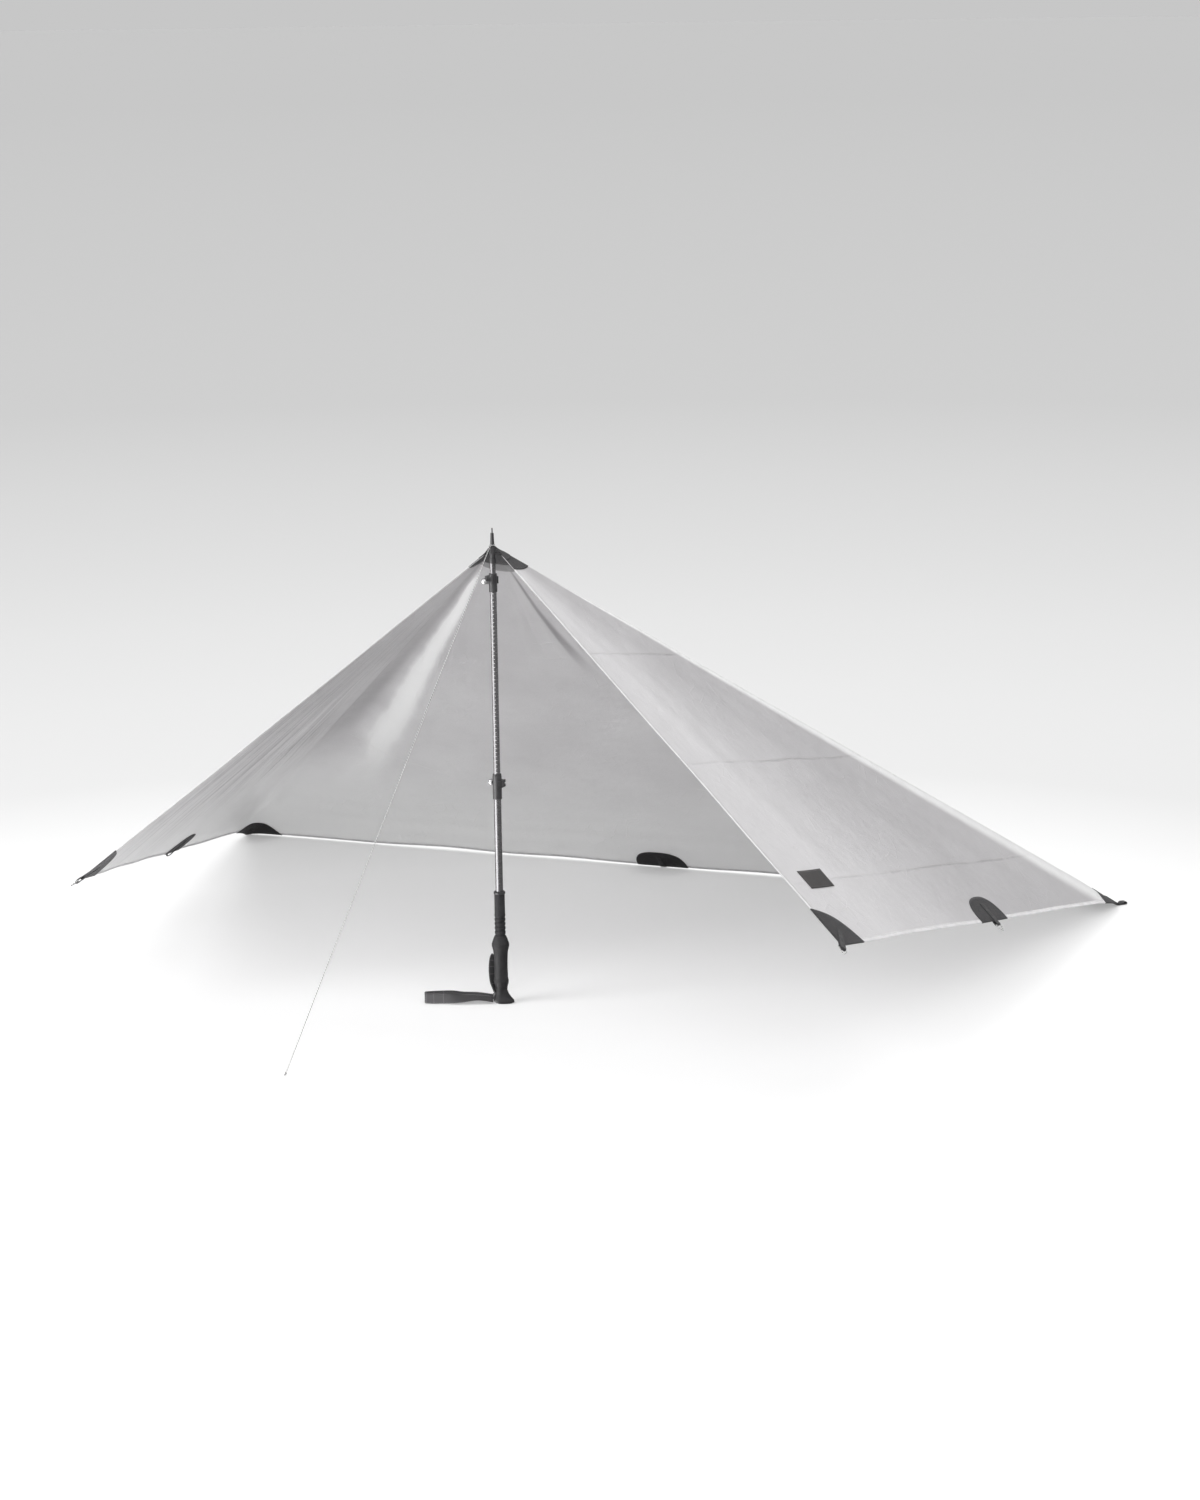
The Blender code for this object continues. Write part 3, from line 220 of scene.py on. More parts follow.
# %% A node tree
class Nodes:
    """A node tree, with short ways to add nodes and to join them."""

    def __init__(self, tree):
        self.tree = tree

    def feed(self, socket, value):
        """Joins a value to a socket, or sets a plain number, vector or colour on it."""
        if isinstance(value, Value):
            self.tree.links.new(value.socket, socket)
        else:
            socket.default_value = value

    def add(self, kind, inputs=None, output=0, **settings):
        node = self.tree.nodes.new(kind)
        for name, setting in settings.items():
            setattr(node, name, setting)
        for key, value in (inputs or {}).items():
            self.feed(node.inputs[key], value)
        return Value(self, node.outputs[output])

    def math(self, operation, first, second=0.0, clamp=False):
        inputs = {0: first, 1: second}
        return self.add("ShaderNodeMath", inputs, operation=operation, use_clamp=clamp)

    def vector(self, operation, first, second=(0.0, 0.0, 0.0), output=0):
        inputs = {0: first, 1: second}
        return self.add("ShaderNodeVectorMath", inputs, output, operation=operation)

    def wave(self, vector, period, axis, distortion):
        """A sine of the given period in metres. Blender's own scale counts 20 turns a metre."""
        inputs = {"Vector": vector, "Scale": 2 * math.pi / (20 * period), "Distortion": distortion}
        return self.add("ShaderNodeTexWave", {**inputs, "Detail": 0.0}, "Fac", bands_direction=axis)

    def blend(self, mask, dark, light):
        node = self.tree.nodes.new("ShaderNodeMix")
        node.data_type = "RGBA"
        self.feed(node.inputs[0], mask)
        for socket, colour in ((node.inputs[6], dark), (node.inputs[7], light)):
            self.feed(socket, colour if isinstance(colour, Value) else (*colour, 1.0))
        return Value(self, node.outputs[2])

    def attribute(self, name, output):
        """A value that the mesh carries: `place` is where a point is on the flat piece."""
        settings = {"attribute_name": name, "attribute_type": "GEOMETRY"}
        return self.add("ShaderNodeAttribute", output=output, **settings)

    def flat_place(self):
        return self.attribute("place", "Vector")

    def object_place(self):
        return self.add("ShaderNodeTexCoord", output="Object")

    def rays(self):
        """What kind of ray looks at the surface."""
        return self.add("ShaderNodeLightPath").outputs()

    def group(self, tree, inputs):
        node = self.tree.nodes.new("ShaderNodeGroup")
        node.node_tree = tree
        for key, value in inputs.items():
            self.feed(node.inputs[key], value)
        return Value(self, node.outputs[0]).outputs()


print("node helpers", [name for name in vars(Nodes) if not name.startswith("_")])


# %% Helpers for effects and finishes
def effect(name, inputs, outputs):
    """A new node group with float sockets, and a vector socket called Place."""
    tree = bpy.data.node_groups.new(name, "ShaderNodeTree")
    tree.interface.new_socket("Place", in_out="INPUT", socket_type="NodeSocketVector")
    for key, value in inputs.items():
        socket = tree.interface.new_socket(key, in_out="INPUT", socket_type="NodeSocketFloat")
        socket.default_value = value
    for key in outputs:
        tree.interface.new_socket(key, in_out="OUTPUT", socket_type="NodeSocketFloat")
    nodes = Nodes(tree)
    given = nodes.add("NodeGroupInput").outputs()
    return tree, nodes, given, tree.nodes.new("NodeGroupOutput").inputs


def finish_of(name, roughness, metallic=0.0, **plain):
    """A material with one shader. plain sets numbers on the shader's own sockets."""
    material = bpy.data.materials.new(name)
    material.use_nodes = True
    shader = material.node_tree.nodes["Principled BSDF"].inputs
    shader["Roughness"].default_value = roughness
    shader["Metallic"].default_value = metallic
    for key, value in plain.items():
        shader[key.replace("_", " ")].default_value = value
    return material, Nodes(material.node_tree), shader


def relief_on(nodes, shader, height, depth):
    """Joins a height to the shader's normal. depth is in metres."""
    inputs = {"Height": height, "Strength": 1.0, "Distance": depth}
    nodes.feed(shader["Normal"], nodes.add("ShaderNodeBump", inputs))


def dull(grey):
    """A grey a touch short of green, as the photographed fabrics are."""
    return (grey, grey - 0.01, grey)


print("finishes have one shader each")

# %% Weave, grain and scuffs
inputs = {"Threads": 2000.0, "Unevenness": 0.3}
weave, nodes, given, result = effect("weave", inputs, ["Height", "Mask"])
place = given["Place"]
inputs = {0: place, "Scale": given["Threads"]}
x, y, _ = nodes.add("ShaderNodeVectorMath", inputs, operation="SCALE").parts()
warp, weft = abs((x * math.pi).sine()), abs((y * math.pi).sine())
row_and_column = nodes.math("FLOOR", x) + nodes.math("FLOOR", y)
over = nodes.math("MODULO", abs(row_and_column), 2.0)
height = warp * over + weft * (1.0 - over)
uneven = (place.noise(90.0, 3.0) - 0.5) * given["Unevenness"]
nodes.feed(result["Height"], height + uneven)
nodes.feed(result["Mask"], nodes.math("ADD", height * 0.7, uneven, clamp=True))

grain, nodes, given, result = effect("grain", {"Size": 0.001}, ["Height", "Mask"])
inputs = {"Vector": given["Place"], "Scale": 1.0 / given["Size"]}
fine = nodes.add("ShaderNodeTexVoronoi", inputs, "Distance", feature="SMOOTH_F1")
nodes.feed(result["Height"], 1.0 - fine)
nodes.feed(result["Mask"], given["Place"].noise(35.0, 4.0, 0.6).ramp(0.35, 0.70))

scuffs, nodes, given, result = effect("scuffs", {"Amount": 0.5}, ["Mask"])
stretched = nodes.vector("MULTIPLY", given["Place"], (700.0, 700.0, 12.0))
scratches = stretched.noise(1.0, 3.0, 0.7).ramp(0.56, 0.74)
worn = scratches * given["Place"].noise(22.0, 2.0).ramp(0.45, 0.65)
nodes.feed(result["Mask"], worn * given["Amount"])
print("effects", [tree.name for tree in (weave, grain, scuffs)])

# %% [markdown]
# ## The guyline
#
# The guyline is a thin braided cord, black with white tracer threads that show as flecks
# about every 6.5 mm. It leaves a small loop round the pole's tip, runs taut to the ground in
# front, and ends in a knot. Cords come first, because their length decides how far the model
# reaches. The tube is swept by code along its points, so that the flecks can follow it.

# %% The flecked cord's finish
FLECK_PITCH, BRAID_PITCH = 0.0065, 0.0016
FULL_TURN = 2 * math.pi
cord_finish, nodes, shader = finish_of("flecked_cord", 0.62, Sheen_Weight=0.15)
along, around, _ = nodes.flat_place().parts()
fleck = ((along * (1 / FLECK_PITCH) + around) * FULL_TURN).sine().ramp(-0.35, 0.05)
fuzz = nodes.object_place().noise(2500.0, 2.0).ramp(0.2, 0.45, 0.75, 1.0)
colour = nodes.blend(fleck * fuzz, (0.055, 0.053, 0.056), (0.86, 0.86, 0.85))
nodes.feed(shader["Base Color"], colour)
braid = (along * (FULL_TURN / BRAID_PITCH)).sine() * (around * (6 * FULL_TURN)).sine()
relief_on(nodes, shader, braid, 0.00012)
print("finish", cord_finish.name, "with a fleck every", FLECK_PITCH, "m")


# %% A helper for cords
def cord_piece(name, points, diameter, closed=False, sides=10):
    """A round cord along points, with its length and its turn as each point's place."""
    points = [Vector(p) for p in points]
    angles = [FULL_TURN * s / sides for s in range(sides)]
    length, side_way = 0.0, None
    rings, places = [], []
    for k, point in enumerate(points):
        before = points[k - 1] if closed or k else point
        after = points[(k + 1) % len(points)] if closed or k < len(points) - 1 else point
        length += (point - points[k - 1]).length if k else 0.0
        ahead = (after - before).normalized()
        if side_way is None:
            side_way = ahead.orthogonal().normalized()
        side_way = (side_way - ahead * side_way.dot(ahead)).normalized()
        other = ahead.cross(side_way)
        spokes = [side_way * math.cos(a) + other * math.sin(a) for a in angles]
        rings.append([point + spoke * diameter / 2 for spoke in spokes])
        places.append([(length, abs(s / sides - 0.5) * 2, 0.0) for s in range(sides)])
    return grid_piece(name, rings, places, cord_finish, closed=(closed, True), caps=not closed)


print("cords are swept tubes")

# %% The guyline
CORD_DIAMETER, SEAT_GAP = 0.002, 0.0003
GUY_FOOT = Vector((-0.280, -0.666, 0.0))
GUY_LOOP_HEIGHT = 1.1425
KNOT_RADIUS, KNOT_LENGTH = 1.25 * CORD_DIAMETER, 5 * CORD_DIAMETER
# the radius and the height of the tip's ferrule at its shoulder and at its nose
FERRULE_SHOULDER, FERRULE_NOSE = (0.0064, 1.1105), (0.0038, 1.171)


def ferrule_radius(height):
    share = (height - FERRULE_SHOULDER[1]) / (FERRULE_NOSE[1] - FERRULE_SHOULDER[1])
    return FERRULE_SHOULDER[0] + (FERRULE_NOSE[0] - FERRULE_SHOULDER[0]) * share


ring_radius = ferrule_radius(GUY_LOOP_HEIGHT) + SEAT_GAP + CORD_DIAMETER / 2
heading = Vector((GUY_FOOT.x, GUY_FOOT.y, 0)).normalized()
guy_end = GUY_FOOT + Vector((0, 0, KNOT_RADIUS * 1.2))
hold = heading * (ring_radius + SEAT_GAP) + Vector((0, 0, GUY_LOOP_HEIGHT))
guy_way = (guy_end - hold).normalized()
knot_top = hold + guy_way * (CORD_DIAMETER / 2 + SEAT_GAP)
guy_from = knot_top + guy_way * (KNOT_LENGTH + SEAT_GAP)
guy_to = guy_end - guy_way * (KNOT_LENGTH + SEAT_GAP)
guy_points = [guy_from.lerp(guy_to, k / 600) for k in range(601)]
guyline = cord_piece("guy_cord", guy_points, CORD_DIAMETER)
GUY_LENGTH = (guy_to - guy_from).length
print("guyline", round(GUY_LENGTH, 4), "m")

# %% [markdown]
# The knots are short barrel knots: the cord wrapped four times round itself. A wrap is a
# helix with a pitch a little over the cord's diameter, so a helix of real cord is used and
# the light catches each wrap. A thin core closes the middle. The loop round the tip is a ring.

# %% Knots
WRAPS, WRAP_POINTS, CORE_DIAMETER, CORE_INSET = 4, 22, 0.0014, 0.0004


def barrel_knot(name, start):
    """Wraps of cord side by side round the line."""
    side_way = guy_way.orthogonal().normalized()
    other = guy_way.cross(side_way)
    strand = CORD_DIAMETER * 0.98
    radius = KNOT_RADIUS - strand / 2
    rise = (KNOT_LENGTH - strand) / (FULL_TURN * WRAPS)
    points = []
    for t in np.linspace(0, FULL_TURN * WRAPS, WRAP_POINTS * WRAPS):
        spoke = side_way * math.cos(t) + other * math.sin(t)
        points.append(start + guy_way * (strand / 2 + rise * t) + spoke * radius)
    wraps = cord_piece(name, points, strand, sides=8)
    stops = (CORE_INSET, KNOT_LENGTH / 2, KNOT_LENGTH - CORE_INSET)
    core = cord_piece(f"{name}_core", [start + guy_way * s for s in stops], CORE_DIAMETER)
    only(wraps)
    core.select_set(True)
    bpy.ops.object.join()
    return wraps


top_knot = barrel_knot("guy_top_knot", knot_top)
end_knot = barrel_knot("guy_end_knot", guy_end - guy_way * KNOT_LENGTH)
print("knots", top_knot.name, end_knot.name)

# %% The top loop
turns = [FULL_TURN * k / 60 for k in range(60)]
ring = [(ring_radius * math.cos(a), ring_radius * math.sin(a), GUY_LOOP_HEIGHT) for a in turns]
top_loop = cord_piece("guy_top_loop", ring, CORD_DIAMETER, closed=True)
stands_for(guyline, "guyline")
stands_for(top_knot, "guyline_top_knot")
stands_for(end_knot, "guyline_end_knot")
stands_for(top_loop, "guyline_top_loop")
print("top loop", top_loop.name)

# %% [markdown]
# ## The floor and the light
#
# The studio floor's colour carries a painted pool of light: white near the tarp, fading to pale
# grey far away. It is one wide disc, whose colour changes with the distance from the tarp, so the
# horizon is soft from any side. A little light of the floor's own, seen only by the camera, lifts
# it to white, while the object's shadow still shows. In reflections the floor is darker, apart
# from one bright strip to the front left of the pole, which draws the bright stripe along its
# tubes.

# %% The floor
FLOOR_RADIUS, FLOOR_LEVEL = 300.0, -0.0005
BRIGHT_MIDDLE = (0.42, -1.1, 0.0)
FLOOR_PAINT, FLOOR_MIRRORED, FLOOR_GLOW = 0.62, 0.36, 0.32
# the strip's direction, half width and soft margin in degrees, seen from the pole, and its level
STRIP_TURN, STRIP_HALF, STRIP_MARGIN, STRIP_LEVEL = -131.0, 29.0, 7.0, 6.0
# the distance in metres from the bright middle, and how bright the floor is there
FADE_STEPS = (
    (2.4, 1.0), (3.0, 0.906), (3.7, 0.785), (4.8, 0.766), (6.1, 0.732),
    (7.5, 0.689), (9.8, 0.639), (13.1, 0.577), (25.0, 0.556), (71.0, 0.528),
)
# the fade is drawn over the distance's logarithm, from the first to the second of these
FADE_FROM, FADE_TO = 0.2, 2.0

bpy.ops.object.select_all(action="DESELECT")
bpy.ops.mesh.primitive_circle_add(
    vertices=128, radius=FLOOR_RADIUS, fill_type="NGON", location=(0, 0, FLOOR_LEVEL)
)
bpy.ops.object.transform_apply(location=True)
floor = bpy.context.object
floor.name = "studio_floor"
floor_finish, nodes, shader = finish_of("studio_floor", 0.9, Specular_IOR_Level=0.0)
place = nodes.object_place()
from_middle = nodes.vector("SUBTRACT", place, BRIGHT_MIDDLE)
distance = nodes.vector("LENGTH", from_middle, output="Value")
share = nodes.math("LOGARITHM", distance, 10.0).ramp(FADE_FROM, FADE_TO, kind="LINEAR")
# painted pool of light: the floor's colour is brightest round the tarp and fades to grey with
# distance
fade = nodes.add("ShaderNodeValToRGB", {0: share})
elements = fade.socket.node.color_ramp.elements
while len(elements) < len(FADE_STEPS):
    elements.new(0.5)
for element, (metres, value) in zip(elements, FADE_STEPS):
    element.position = (math.log10(metres) - FADE_FROM) / (FADE_TO - FADE_FROM)
    element.color = (value, value, value, 1.0)
print("floor fades in", len(elements), "steps")

# %% The floor's paint and its own light
seen = nodes.rays()
level = seen["Is Glossy Ray"].ramp(0.0, 1.0, FLOOR_PAINT, FLOOR_MIRRORED, "LINEAR")
nodes.feed(shader["Base Color"], nodes.blend(level, (0.0, 0.0, 0.0), fade))
grip_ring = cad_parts["grip_ring"]
corners = [grip_ring.matrix_world @ Vector(corner) for corner in grip_ring.bound_box]
pole_place = sum(corners, Vector()) / len(corners)
from_pole = nodes.vector("SUBTRACT", place, (pole_place.x, pole_place.y, 0.0))
inputs = {"Vector": from_pole, "Angle": -math.radians(STRIP_TURN)}
ahead, aside, _ = nodes.add("ShaderNodeVectorRotate", inputs, rotation_type="Z_AXIS").parts()
aim = abs(nodes.math("ARCTAN2", aside, ahead))
edges = [math.radians(STRIP_HALF + margin) for margin in (-STRIP_MARGIN, STRIP_MARGIN)]
strip = aim.ramp(*edges, 1.0, 0.0) * seen["Is Glossy Ray"] * STRIP_LEVEL
strength = (seen["Is Camera Ray"] | seen["Is Transmission Ray"]) * FLOOR_GLOW + strip
glow = nodes.add("ShaderNodeEmission", {"Color": fade, "Strength": strength})
painted = Value(nodes, shader["Base Color"].node.outputs[0])
both = nodes.add("ShaderNodeAddShader", {0: painted, 1: glow})
nodes.feed(floor_finish.node_tree.nodes["Material Output"].inputs[0], both)
floor.data.materials.append(floor_finish)
print("floor radius", FLOOR_RADIUS)

# %% [markdown]
# Three distant lamps light the whole floor alike, each soft through its wide angle. The key
# stands to the left of the camera and above it, so the grip's shadow falls to the right and
# back. A wide fill stands to the right, and a lamp behind the tarp glows through the cloth. A
# weak tall panel at the left lights the inside under the left wing. The world gives the rest,
# the same from every side, and is darker in reflections, so that the black parts stay black.

# %% The distant lamps
def aim_lamp(holder, toward):
    """Turns a lamp to shine along a direction."""
    holder.rotation_euler = toward.to_track_quat("-Z", "Y").to_euler()
    return holder


def far_lamp(name, comes_from, height_degrees, level, softness_degrees):
    """A distant lamp. level is how bright it makes a white surface that faces it."""
    holder = add_object(name, bpy.data.lights.new(name, "SUN"))
    holder.data.energy = math.pi * level
    holder.data.angle = math.radians(softness_degrees)
    tall = math.radians(height_degrees)
    flat = Vector((*comes_from, 0)).normalized()
    return aim_lamp(holder, -(flat * math.cos(tall) + Vector((0, 0, math.sin(tall)))))


key = far_lamp("key_lamp", (-0.77, -0.64), 42, 0.38, 30)
fill = far_lamp("fill_lamp", (0.60, -0.80), 40, 0.52, 70)
rim = far_lamp("back_lamp", (-0.30, 0.95), 48, 0.32, 60)
print("distant lamps", key.name, fill.name, rim.name)

# %% The panel and the world
WORLD_LEVEL, HORIZON_GREY, MIRRORED_GREY = 0.42, 0.571, 0.20
PANEL_WIDTH, PANEL_HEIGHT, PANEL_WATTS = 1.2, 2.0, 95.0
panel = add_object("tall_panel", bpy.data.lights.new("tall_panel", "AREA"))
panel.data.shape = "RECTANGLE"
panel.data.size, panel.data.size_y, panel.data.energy = PANEL_WIDTH, PANEL_HEIGHT, PANEL_WATTS
panel.location = (-4.0, -3.0, PANEL_HEIGHT / 2)
aim_lamp(panel, Vector((4.0, 3.0, -0.4)))

world = bpy.data.worlds.new("studio")
scene.world = world
world.use_nodes = True
nodes = Nodes(world.node_tree)
background = world.node_tree.nodes["Background"].inputs
seen = nodes.rays()
seen_by_eye = seen["Is Camera Ray"] | seen["Is Transmission Ray"]
strength = seen_by_eye.ramp(0.0, 1.0, WORLD_LEVEL, HORIZON_GREY, "LINEAR")
strength = strength + seen["Is Glossy Ray"] * (MIRRORED_GREY - WORLD_LEVEL)
nodes.feed(background["Strength"], strength)
background["Color"].default_value = (1.0, 1.0, 1.0, 1.0)
print("panel", panel.name, "world", world.name)

# %% [markdown]
# ## How the flat sheet becomes the pitched tarp
#
# A tarp doesn't stretch, so its pitched shape is the flat rectangle bent without stretching.
# Every straight line from the peak to the hem, a ray, stays straight, and the sheet only bends
# from one ray to the next: strongly at the fold to each back corner, where a wing turns
# forward, and a little in slack ripples between. Rolling a small frame (along the ray, across
# it, outward) from the back to a side gives every ray's direction. The left half mirrors it.

# %% Roll the sheet's frame from the back to a side
CLOTH_WIDTH, CLOTH_DEPTH = 2.60, 1.70
HALF_WIDTH = CLOTH_WIDTH / 2
PEAK = Vector((0, 0.012, 1.135))
PEAK_HOLE, HEM_HEIGHT = 0.030, 0.012
FOLD_TURN, FOLD_WIDTH = math.radians(54.4), math.radians(3.6)
RIPPLE_PITCH, RIPPLE_WING, RIPPLE_BACK = math.radians(11.5), 0.0008, 0.0010
CORNER_ANGLE = math.atan2(HALF_WIDTH, CLOTH_DEPTH)
QUARTER = math.pi / 2
ROLL_STEPS = 1800


def bend_at(angle):
    """How fast the sheet bends at an angle from the back, seen from the peak."""
    off = (angle - CORNER_ANGLE) / FOLD_WIDTH
    bend = 0.0
    if abs(off) < 0.5:
        bend += FOLD_TURN / FOLD_WIDTH * (1 + math.cos(FULL_TURN * off))
    beat = FULL_TURN / RIPPLE_PITCH
    in_wing = angle > CORNER_ANGLE
    from_fold = abs(angle - CORNER_ANGLE) - FOLD_WIDTH / 2
    span = QUARTER - CORNER_ANGLE if in_wing else CORNER_ANGLE
    calm = min(from_fold, span - FOLD_WIDTH / 2 - from_fold) / RIPPLE_PITCH
    if calm > 0:
        depth = RIPPLE_WING if in_wing else RIPPLE_BACK
        bend += depth * beat**2 * min(calm, 1) * math.sin(beat * from_fold)
    return bend


def turned(first, second, angle):
    """Two directions at right angles, turned from the first towards the second."""
    c, s = math.cos(angle), math.sin(angle)
    return first * c + second * s, second * c - first * s


def roll_frames():
    slope = math.asin((PEAK.z - HEM_HEIGHT) / CLOTH_DEPTH)
    across = Vector((1, 0, 0))
    ray = Vector((0, math.cos(slope), -math.sin(slope)))
    out = Vector((0, math.sin(slope), math.cos(slope)))
    frames, step = [(ray, across, out)], QUARTER / ROLL_STEPS
    for k in range(ROLL_STEPS):
        ray, across = turned(ray, across, step)
        out, across = turned(out, across, bend_at((k + 0.5) * step) * step)
        frames.append((ray, across, out))
    return np.array(frames)


FRAMES = roll_frames()
print("front corner", np.round(np.array(PEAK) + FRAMES[-1, 0] * HALF_WIDTH, 3))

# %% [markdown]
# The real cloth isn't perfectly smooth. It has long folds that run from the peak, a slack
# lip beside each back-corner fold, shallow waves near the hem, and one small ring-shaped
# dimple. `relief` gives their height at any flat point, so the patches, the label and the
# webbing laid on the cloth follow the same folds.

# %% The table of folds
# angle from the back in degrees (negative is left), width in degrees, tilt of the fold's flanks
# (positive folds stand outward), and the reach from the peak over which it fades in and out
LONG_FOLDS = (
    (-34.8, 2.4, 0.46, 0.10, 0.30, 0.95, 1.60), (-28.4, 2.4, -0.34, 0.10, 0.30, 0.95, 1.45),
    (-41.5, 1.6, -0.13, 0.15, 0.60, 1.50, 1.95), (-46.0, 1.5, 0.12, 0.15, 0.50, 1.10, 1.60),
    (-50.5, 1.5, -0.12, 0.12, 0.50, 1.05, 1.55), (-55.5, 1.4, 0.13, 0.12, 0.50, 1.00, 1.50),
    (-60.0, 1.2, -0.12, 0.10, 0.45, 1.00, 1.45), (-64.0, 1.0, 0.13, 0.10, 0.45, 1.00, 1.40),
    (-67.5, 1.0, -0.12, 0.10, 0.40, 0.95, 1.35), (-71.0, 0.9, 0.13, 0.10, 0.40, 0.90, 1.30),
    (-74.2, 0.9, -0.12, 0.10, 0.40, 0.90, 1.25), (-77.6, 0.8, 0.13, 0.10, 0.40, 0.90, 1.25),
    (-80.7, 0.8, -0.12, 0.10, 0.40, 0.90, 1.20), (-84.0, 0.9, 0.12, 0.10, 0.40, 0.90, 1.20),
    (2.4, 1.5, 0.24, 0.07, 0.16, 0.34, 0.60), (6.0, 1.4, -0.34, 0.07, 0.16, 0.40, 0.66),
    (9.6, 1.5, 0.20, 0.08, 0.20, 0.44, 0.72), (-2.0, 1.6, -0.16, 0.08, 0.22, 0.42, 0.70),
    (-6.5, 2.2, 0.10, 0.08, 0.30, 0.50, 0.90), (20.0, 2.6, -0.04, 0.10, 0.35, 0.80, 1.30),
    (43.4, 1.5, -0.06, 0.40, 1.00, 1.70, 2.02), (52.0, 3.0, 0.03, 0.25, 0.70, 1.20, 1.60),
    (64.0, 3.4, -0.03, 0.20, 0.60, 1.10, 1.45), (76.0, 3.0, 0.03, 0.20, 0.60, 1.00, 1.35),
)
FLANK_STEEPNESS = 0.86
# the ring-shaped dimple: its flat place, its radius and its height
RING_PLACE, RING_RADIUS, RING_HEIGHT = (-0.629, 0.893), 0.024, 0.0017
WAVE_HEIGHT, WAVE_LENGTH, SLOW_HEIGHT, PUCKER_HEIGHT = 0.0009, 0.085, 0.0010, 0.0040
print("long folds", len(LONG_FOLDS))


# %% The folds' relief
def hill(value, middle, width):
    return np.exp(-(((value - middle) / width) ** 2))


def rise(value, low, high):
    share = np.clip((value - low) / (high - low), 0, 1)
    return share * share * (3 - 2 * share)


def relief(u, v):
    """The folds' height at a flat place: u across from the middle, v back from the front edge."""
    angle, reach = np.degrees(np.arctan2(u, v)), np.hypot(u, v)
    total = np.zeros_like(reach)
    for middle, width, tilt, start, full, fade, end in LONG_FOLDS:
        along = rise(reach, start, full) * (1 - rise(reach, fade, end))
        wander = 0.25 * np.sin(6.3 * reach + middle)
        height = tilt / FLANK_STEEPNESS * reach * math.radians(width)
        total += height * hill(angle, middle + wander, width) * along
    near_hem = rise(v, 1.30, 1.62) * (1 - rise(np.abs(u), 0.95, 1.15)) * (1 - rise(v, 1.64, 1.695))
    waves = np.sin(v * FULL_TURN / WAVE_LENGTH + 1.3 * np.sin(2.2 * u))
    total += near_hem * WAVE_HEIGHT * waves
    calm = rise(reach, 0.12, 0.40) * (1 - rise(v, 1.50, 1.66)) * (1 - rise(np.abs(u), 1.14, 1.27))
    slow = np.sin(9.0 * u + 2.1 * np.sin(3.3 * v)) * np.sin(7.4 * v + 1.7 * np.sin(4.1 * u) + 0.8)
    total += SLOW_HEIGHT * slow * calm
    ring = np.hypot((u - RING_PLACE[0]) * 1.25, v - RING_PLACE[1])
    total += RING_HEIGHT * (hill(ring, RING_RADIUS, 0.010) - 0.8 * hill(ring, 0, 0.012))
    pucker_turn = np.arctan2(u + HALF_WIDTH - 0.03, v - CLOTH_DEPTH + 0.03)
    pucker = np.hypot(u + HALF_WIDTH - 0.10, v - CLOTH_DEPTH + 0.14)
    total += PUCKER_HEIGHT * hill(pucker, 0, 0.055) * np.sin(pucker_turn * 7)
    return total * rise(np.abs(CLOTH_DEPTH - v), 0.0, 0.05)


flat_grid = np.meshgrid(np.linspace(-1.3, 1.3, 261), np.linspace(0.0, 1.7, 171))
print("the highest fold stands", round(float(relief(*flat_grid).max()), 4), "m above the cloth")

# %% From a flat place to a place in the air
# pegged down, the back hem sinks this much nearer to the ground over its last 0.16 m, and
# what would sink below the ground rests on it: below REST_HEIGHT the layers press together
HEM_SETTLE, SETTLE_DEPTH = 0.007, 0.16
REST_HEIGHT, REST_LOWEST = 0.0040, 0.0005


def pitched(u, v, lift=0.0):
    """The pitched places of flat points, lifted off the sheet's middle."""
    u, v, lift = np.broadcast_arrays(*(np.asarray(a, float) for a in (u, v, lift)))
    right_u, inside_v = np.abs(u), np.maximum(v, 0)
    at = np.arctan2(right_u, inside_v) / QUARTER * (len(FRAMES) - 1)
    low = np.minimum(at.astype(int), len(FRAMES) - 2)
    share = (at - low)[..., None, None]
    ray, across, out = np.moveaxis(FRAMES[low] * (1 - share) + FRAMES[low + 1] * share, -2, 0)
    reach = np.hypot(right_u, inside_v)[..., None]
    past_front = (inside_v - v)[..., None]
    height = (lift + relief(u, inside_v))[..., None]
    place = ray * reach + across * past_front + out * height
    place[..., 0] *= np.where(u < 0, -1, 1)
    place += np.array(PEAK)
    place[..., 2] -= HEM_SETTLE * rise(v, CLOTH_DEPTH - SETTLE_DEPTH, CLOTH_DEPTH)
    room = REST_HEIGHT - REST_LOWEST
    pressed = REST_LOWEST + room * np.exp(np.minimum(place[..., 2] - REST_HEIGHT, 0.0) / room)
    place[..., 2] = np.where(place[..., 2] < REST_HEIGHT, pressed, place[..., 2])
    return place


print("back hem", np.round(pitched(0.0, CLOTH_DEPTH), 3))
